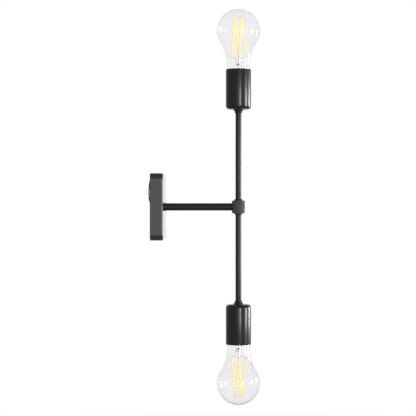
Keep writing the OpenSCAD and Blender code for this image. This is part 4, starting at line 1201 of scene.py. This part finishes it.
class SCONCE_OT_lamp_caps(Operator):
    """Screw caps with a rolled thread, their black glass insulators and contact tips"""
    bl_idname = "sconce.lamp_caps"
    bl_label = "Lamp caps"

    # Steps of the wave's outline, turns of the thread and steps of each turn
    THREAD_STEPS = (12, 4, 48)

    def execute(self, context):
        lamp = context.scene.sconce_lamp
        tip_r = span("upper_bulb_tip", 1)[1]
        insulator_z = TIP_Z + 1.5 * MM
        show_both("{}_screw_cap", lambda: self.cap(lamp), "{}_bulb", "cap_nickel", "{}_bulb_cap")
        turned_both("{}_glass_insulator", (
            (0, insulator_z), (tip_r + 0.5 * MM, insulator_z, 0.2 * MM),
            (7.6 * MM, CAP_Z - 0.9 * MM, 1.2 * MM), (9 * MM, CAP_Z, 0.1 * MM),
            (8.7 * MM, CAP_Z + 0.6 * MM), (0, CAP_Z + 0.6 * MM)),
            64, "{}_lamp_foot", "cap_insulator", "{}_bulb_insulator")
        turned_both("{}_contact_tip", (
            (0, TIP_Z), (0.55 * tip_r, TIP_Z + 0.1 * MM, 0.8 * MM),
            (tip_r - 0.3 * MM, TIP_Z + 0.6 * MM, 0.3 * MM), (tip_r, TIP_Z + 1.2 * MM, 0.15 * MM),
            (tip_r, insulator_z), (0, insulator_z)),
            48, "{}_lamp_foot", "cap_nickel", "{}_bulb_tip")
        return {"FINISHED"}

    def cap(self, lamp):
        """One pitch of the thread's wave, screwed up and trimmed, then joined to a cone and a band."""
        bm = bmesh.new()
        pitch, (steps, turns, per_turn) = lamp.thread_pitch, self.THREAD_STEPS
        crest, root = CAP_R - 0.02 * MM, CAP_R - lamp.thread_depth
        start = CAP_Z + 0.4 * MM
        mean, swing = (crest + root) / 2, (crest - root) / 2
        chain(bm, [(BAR_X + mean + swing * math.cos(FULL_TURN * k / steps), start + pitch * k / steps)
                   for k in range(steps + 1)])
        swept(bm, bm.verts[:] + bm.edges[:], UP, BAR, turns * FULL_TURN, turns * per_turn,
              pitch / per_turn)
        bmesh.ops.remove_doubles(bm, verts=bm.verts, dist=0.002 * MM)
        low, high = CAP_Z + 2.9 * MM, CAP_TOP - 2.6 * MM
        for z, keep_above in ((low, True), (high, False)):
            bmesh.ops.bisect_plane(bm, geom=bm.verts[:] + bm.edges[:] + bm.faces[:], dist=0.0001 * MM,
                                   plane_co=(0, 0, z), plane_no=UP, clear_inner=keep_above,
                                   clear_outer=not keep_above)
        hem = crest - 0.33 * MM
        bands = (
            (low, ((crest - 0.5 * MM, low - 0.5 * MM), (9.2 * MM, CAP_Z + 0.15 * MM), (9 * MM, CAP_Z),
                   (8.9 * MM, CAP_Z + 0.3 * MM), (crest - 0.9 * MM, low - 0.3 * MM))),
            (high, ((crest - 0.1 * MM, high + 0.7 * MM), (crest, high + 1.0 * MM),
                    (crest, CAP_TOP - 0.12 * MM), (crest - 0.12 * MM, CAP_TOP), (hem, CAP_TOP),
                    (hem, high + 1 * MM))))
        for z, stations in bands:
            edges = [e for e in open_edges(bm) if all(abs(v.co.z - z) < 0.001 * MM for v in e.verts)]
            for radius, height in stations:
                edges = drawn_to(bm, edges, radius, height)
        bmesh.ops.bridge_loops(bm, edges=open_edges(bm))
        clean(bm)
        return bm


def paint_node(node, finish):
    """Gives a CAD node that stays a finish, in its object's material slots."""
    for place in frame["nodes"][node].material_slots:
        place.material = FINISHES[finish]


class SCONCE_OT_fittings(Operator):
    """Finishes of the CAD solids that stay, such as bracket, block, nuts, pivot and lampholders"""
    bl_idname = "sconce.fittings"
    bl_label = "Fittings"

    def execute(self, context):
        finish_of = {row["node"]: row["material_slot"] for row in frame["record"]["subparts"]}
        for node, shown in frame["nodes"].items():
            if not shown.hide_render and node != "arm_tube":
                paint_node(node, finish_of[node])
        return {"FINISHED"}


class VIEW3D_PT_sconce(Panel):
    """Sidebar panel that lists the sconce's pieces and sizes"""
    bl_label = "Sconce"
    bl_space_type = "VIEW_3D"
    bl_region_type = "UI"
    bl_category = "Sconce"

    def draw(self, context):
        for group in GROUPS:
            box = self.layout.box()
            box.label(text=group)
            settings = getattr(context.scene, group)
            for name in settings.__annotations__:
                box.prop(settings, name)
        for operator in OPERATORS:
            self.layout.operator(operator.bl_idname)


GROUPS = {
    "sconce_plate": SconcePlate, "sconce_bar": SconceBar, "sconce_lamp": SconceLamp,
    "sconce_finishes": SconceFinishes, "sconce_stage": SconceStage,
}
OPERATORS = (
    SCONCE_OT_stage, SCONCE_OT_leads, SCONCE_OT_wall_plate, SCONCE_OT_plate_screw, SCONCE_OT_arm,
    SCONCE_OT_barrel, SCONCE_OT_lock_rings, SCONCE_OT_rods, SCONCE_OT_collars, SCONCE_OT_cups,
    SCONCE_OT_lamp_glass, SCONCE_OT_filaments, SCONCE_OT_lamp_caps, SCONCE_OT_fittings,
)


def register():
    for kind in (*GROUPS.values(), *OPERATORS, VIEW3D_PT_sconce):
        bpy.utils.register_class(kind)
    for name, group in GROUPS.items():
        setattr(bpy.types.Scene, name, PointerProperty(type=group))


def unregister():
    for name in GROUPS:
        delattr(bpy.types.Scene, name)
    for kind in reversed((*GROUPS.values(), *OPERATORS, VIEW3D_PT_sconce)):
        bpy.utils.unregister_class(kind)


def main():
    register()
    make_finishes(bpy.context.scene.sconce_finishes)
    for operator in OPERATORS:
        getattr(bpy.ops.sconce, operator.bl_idname.split(".")[1])()


if __name__ == "__main__":
    main()
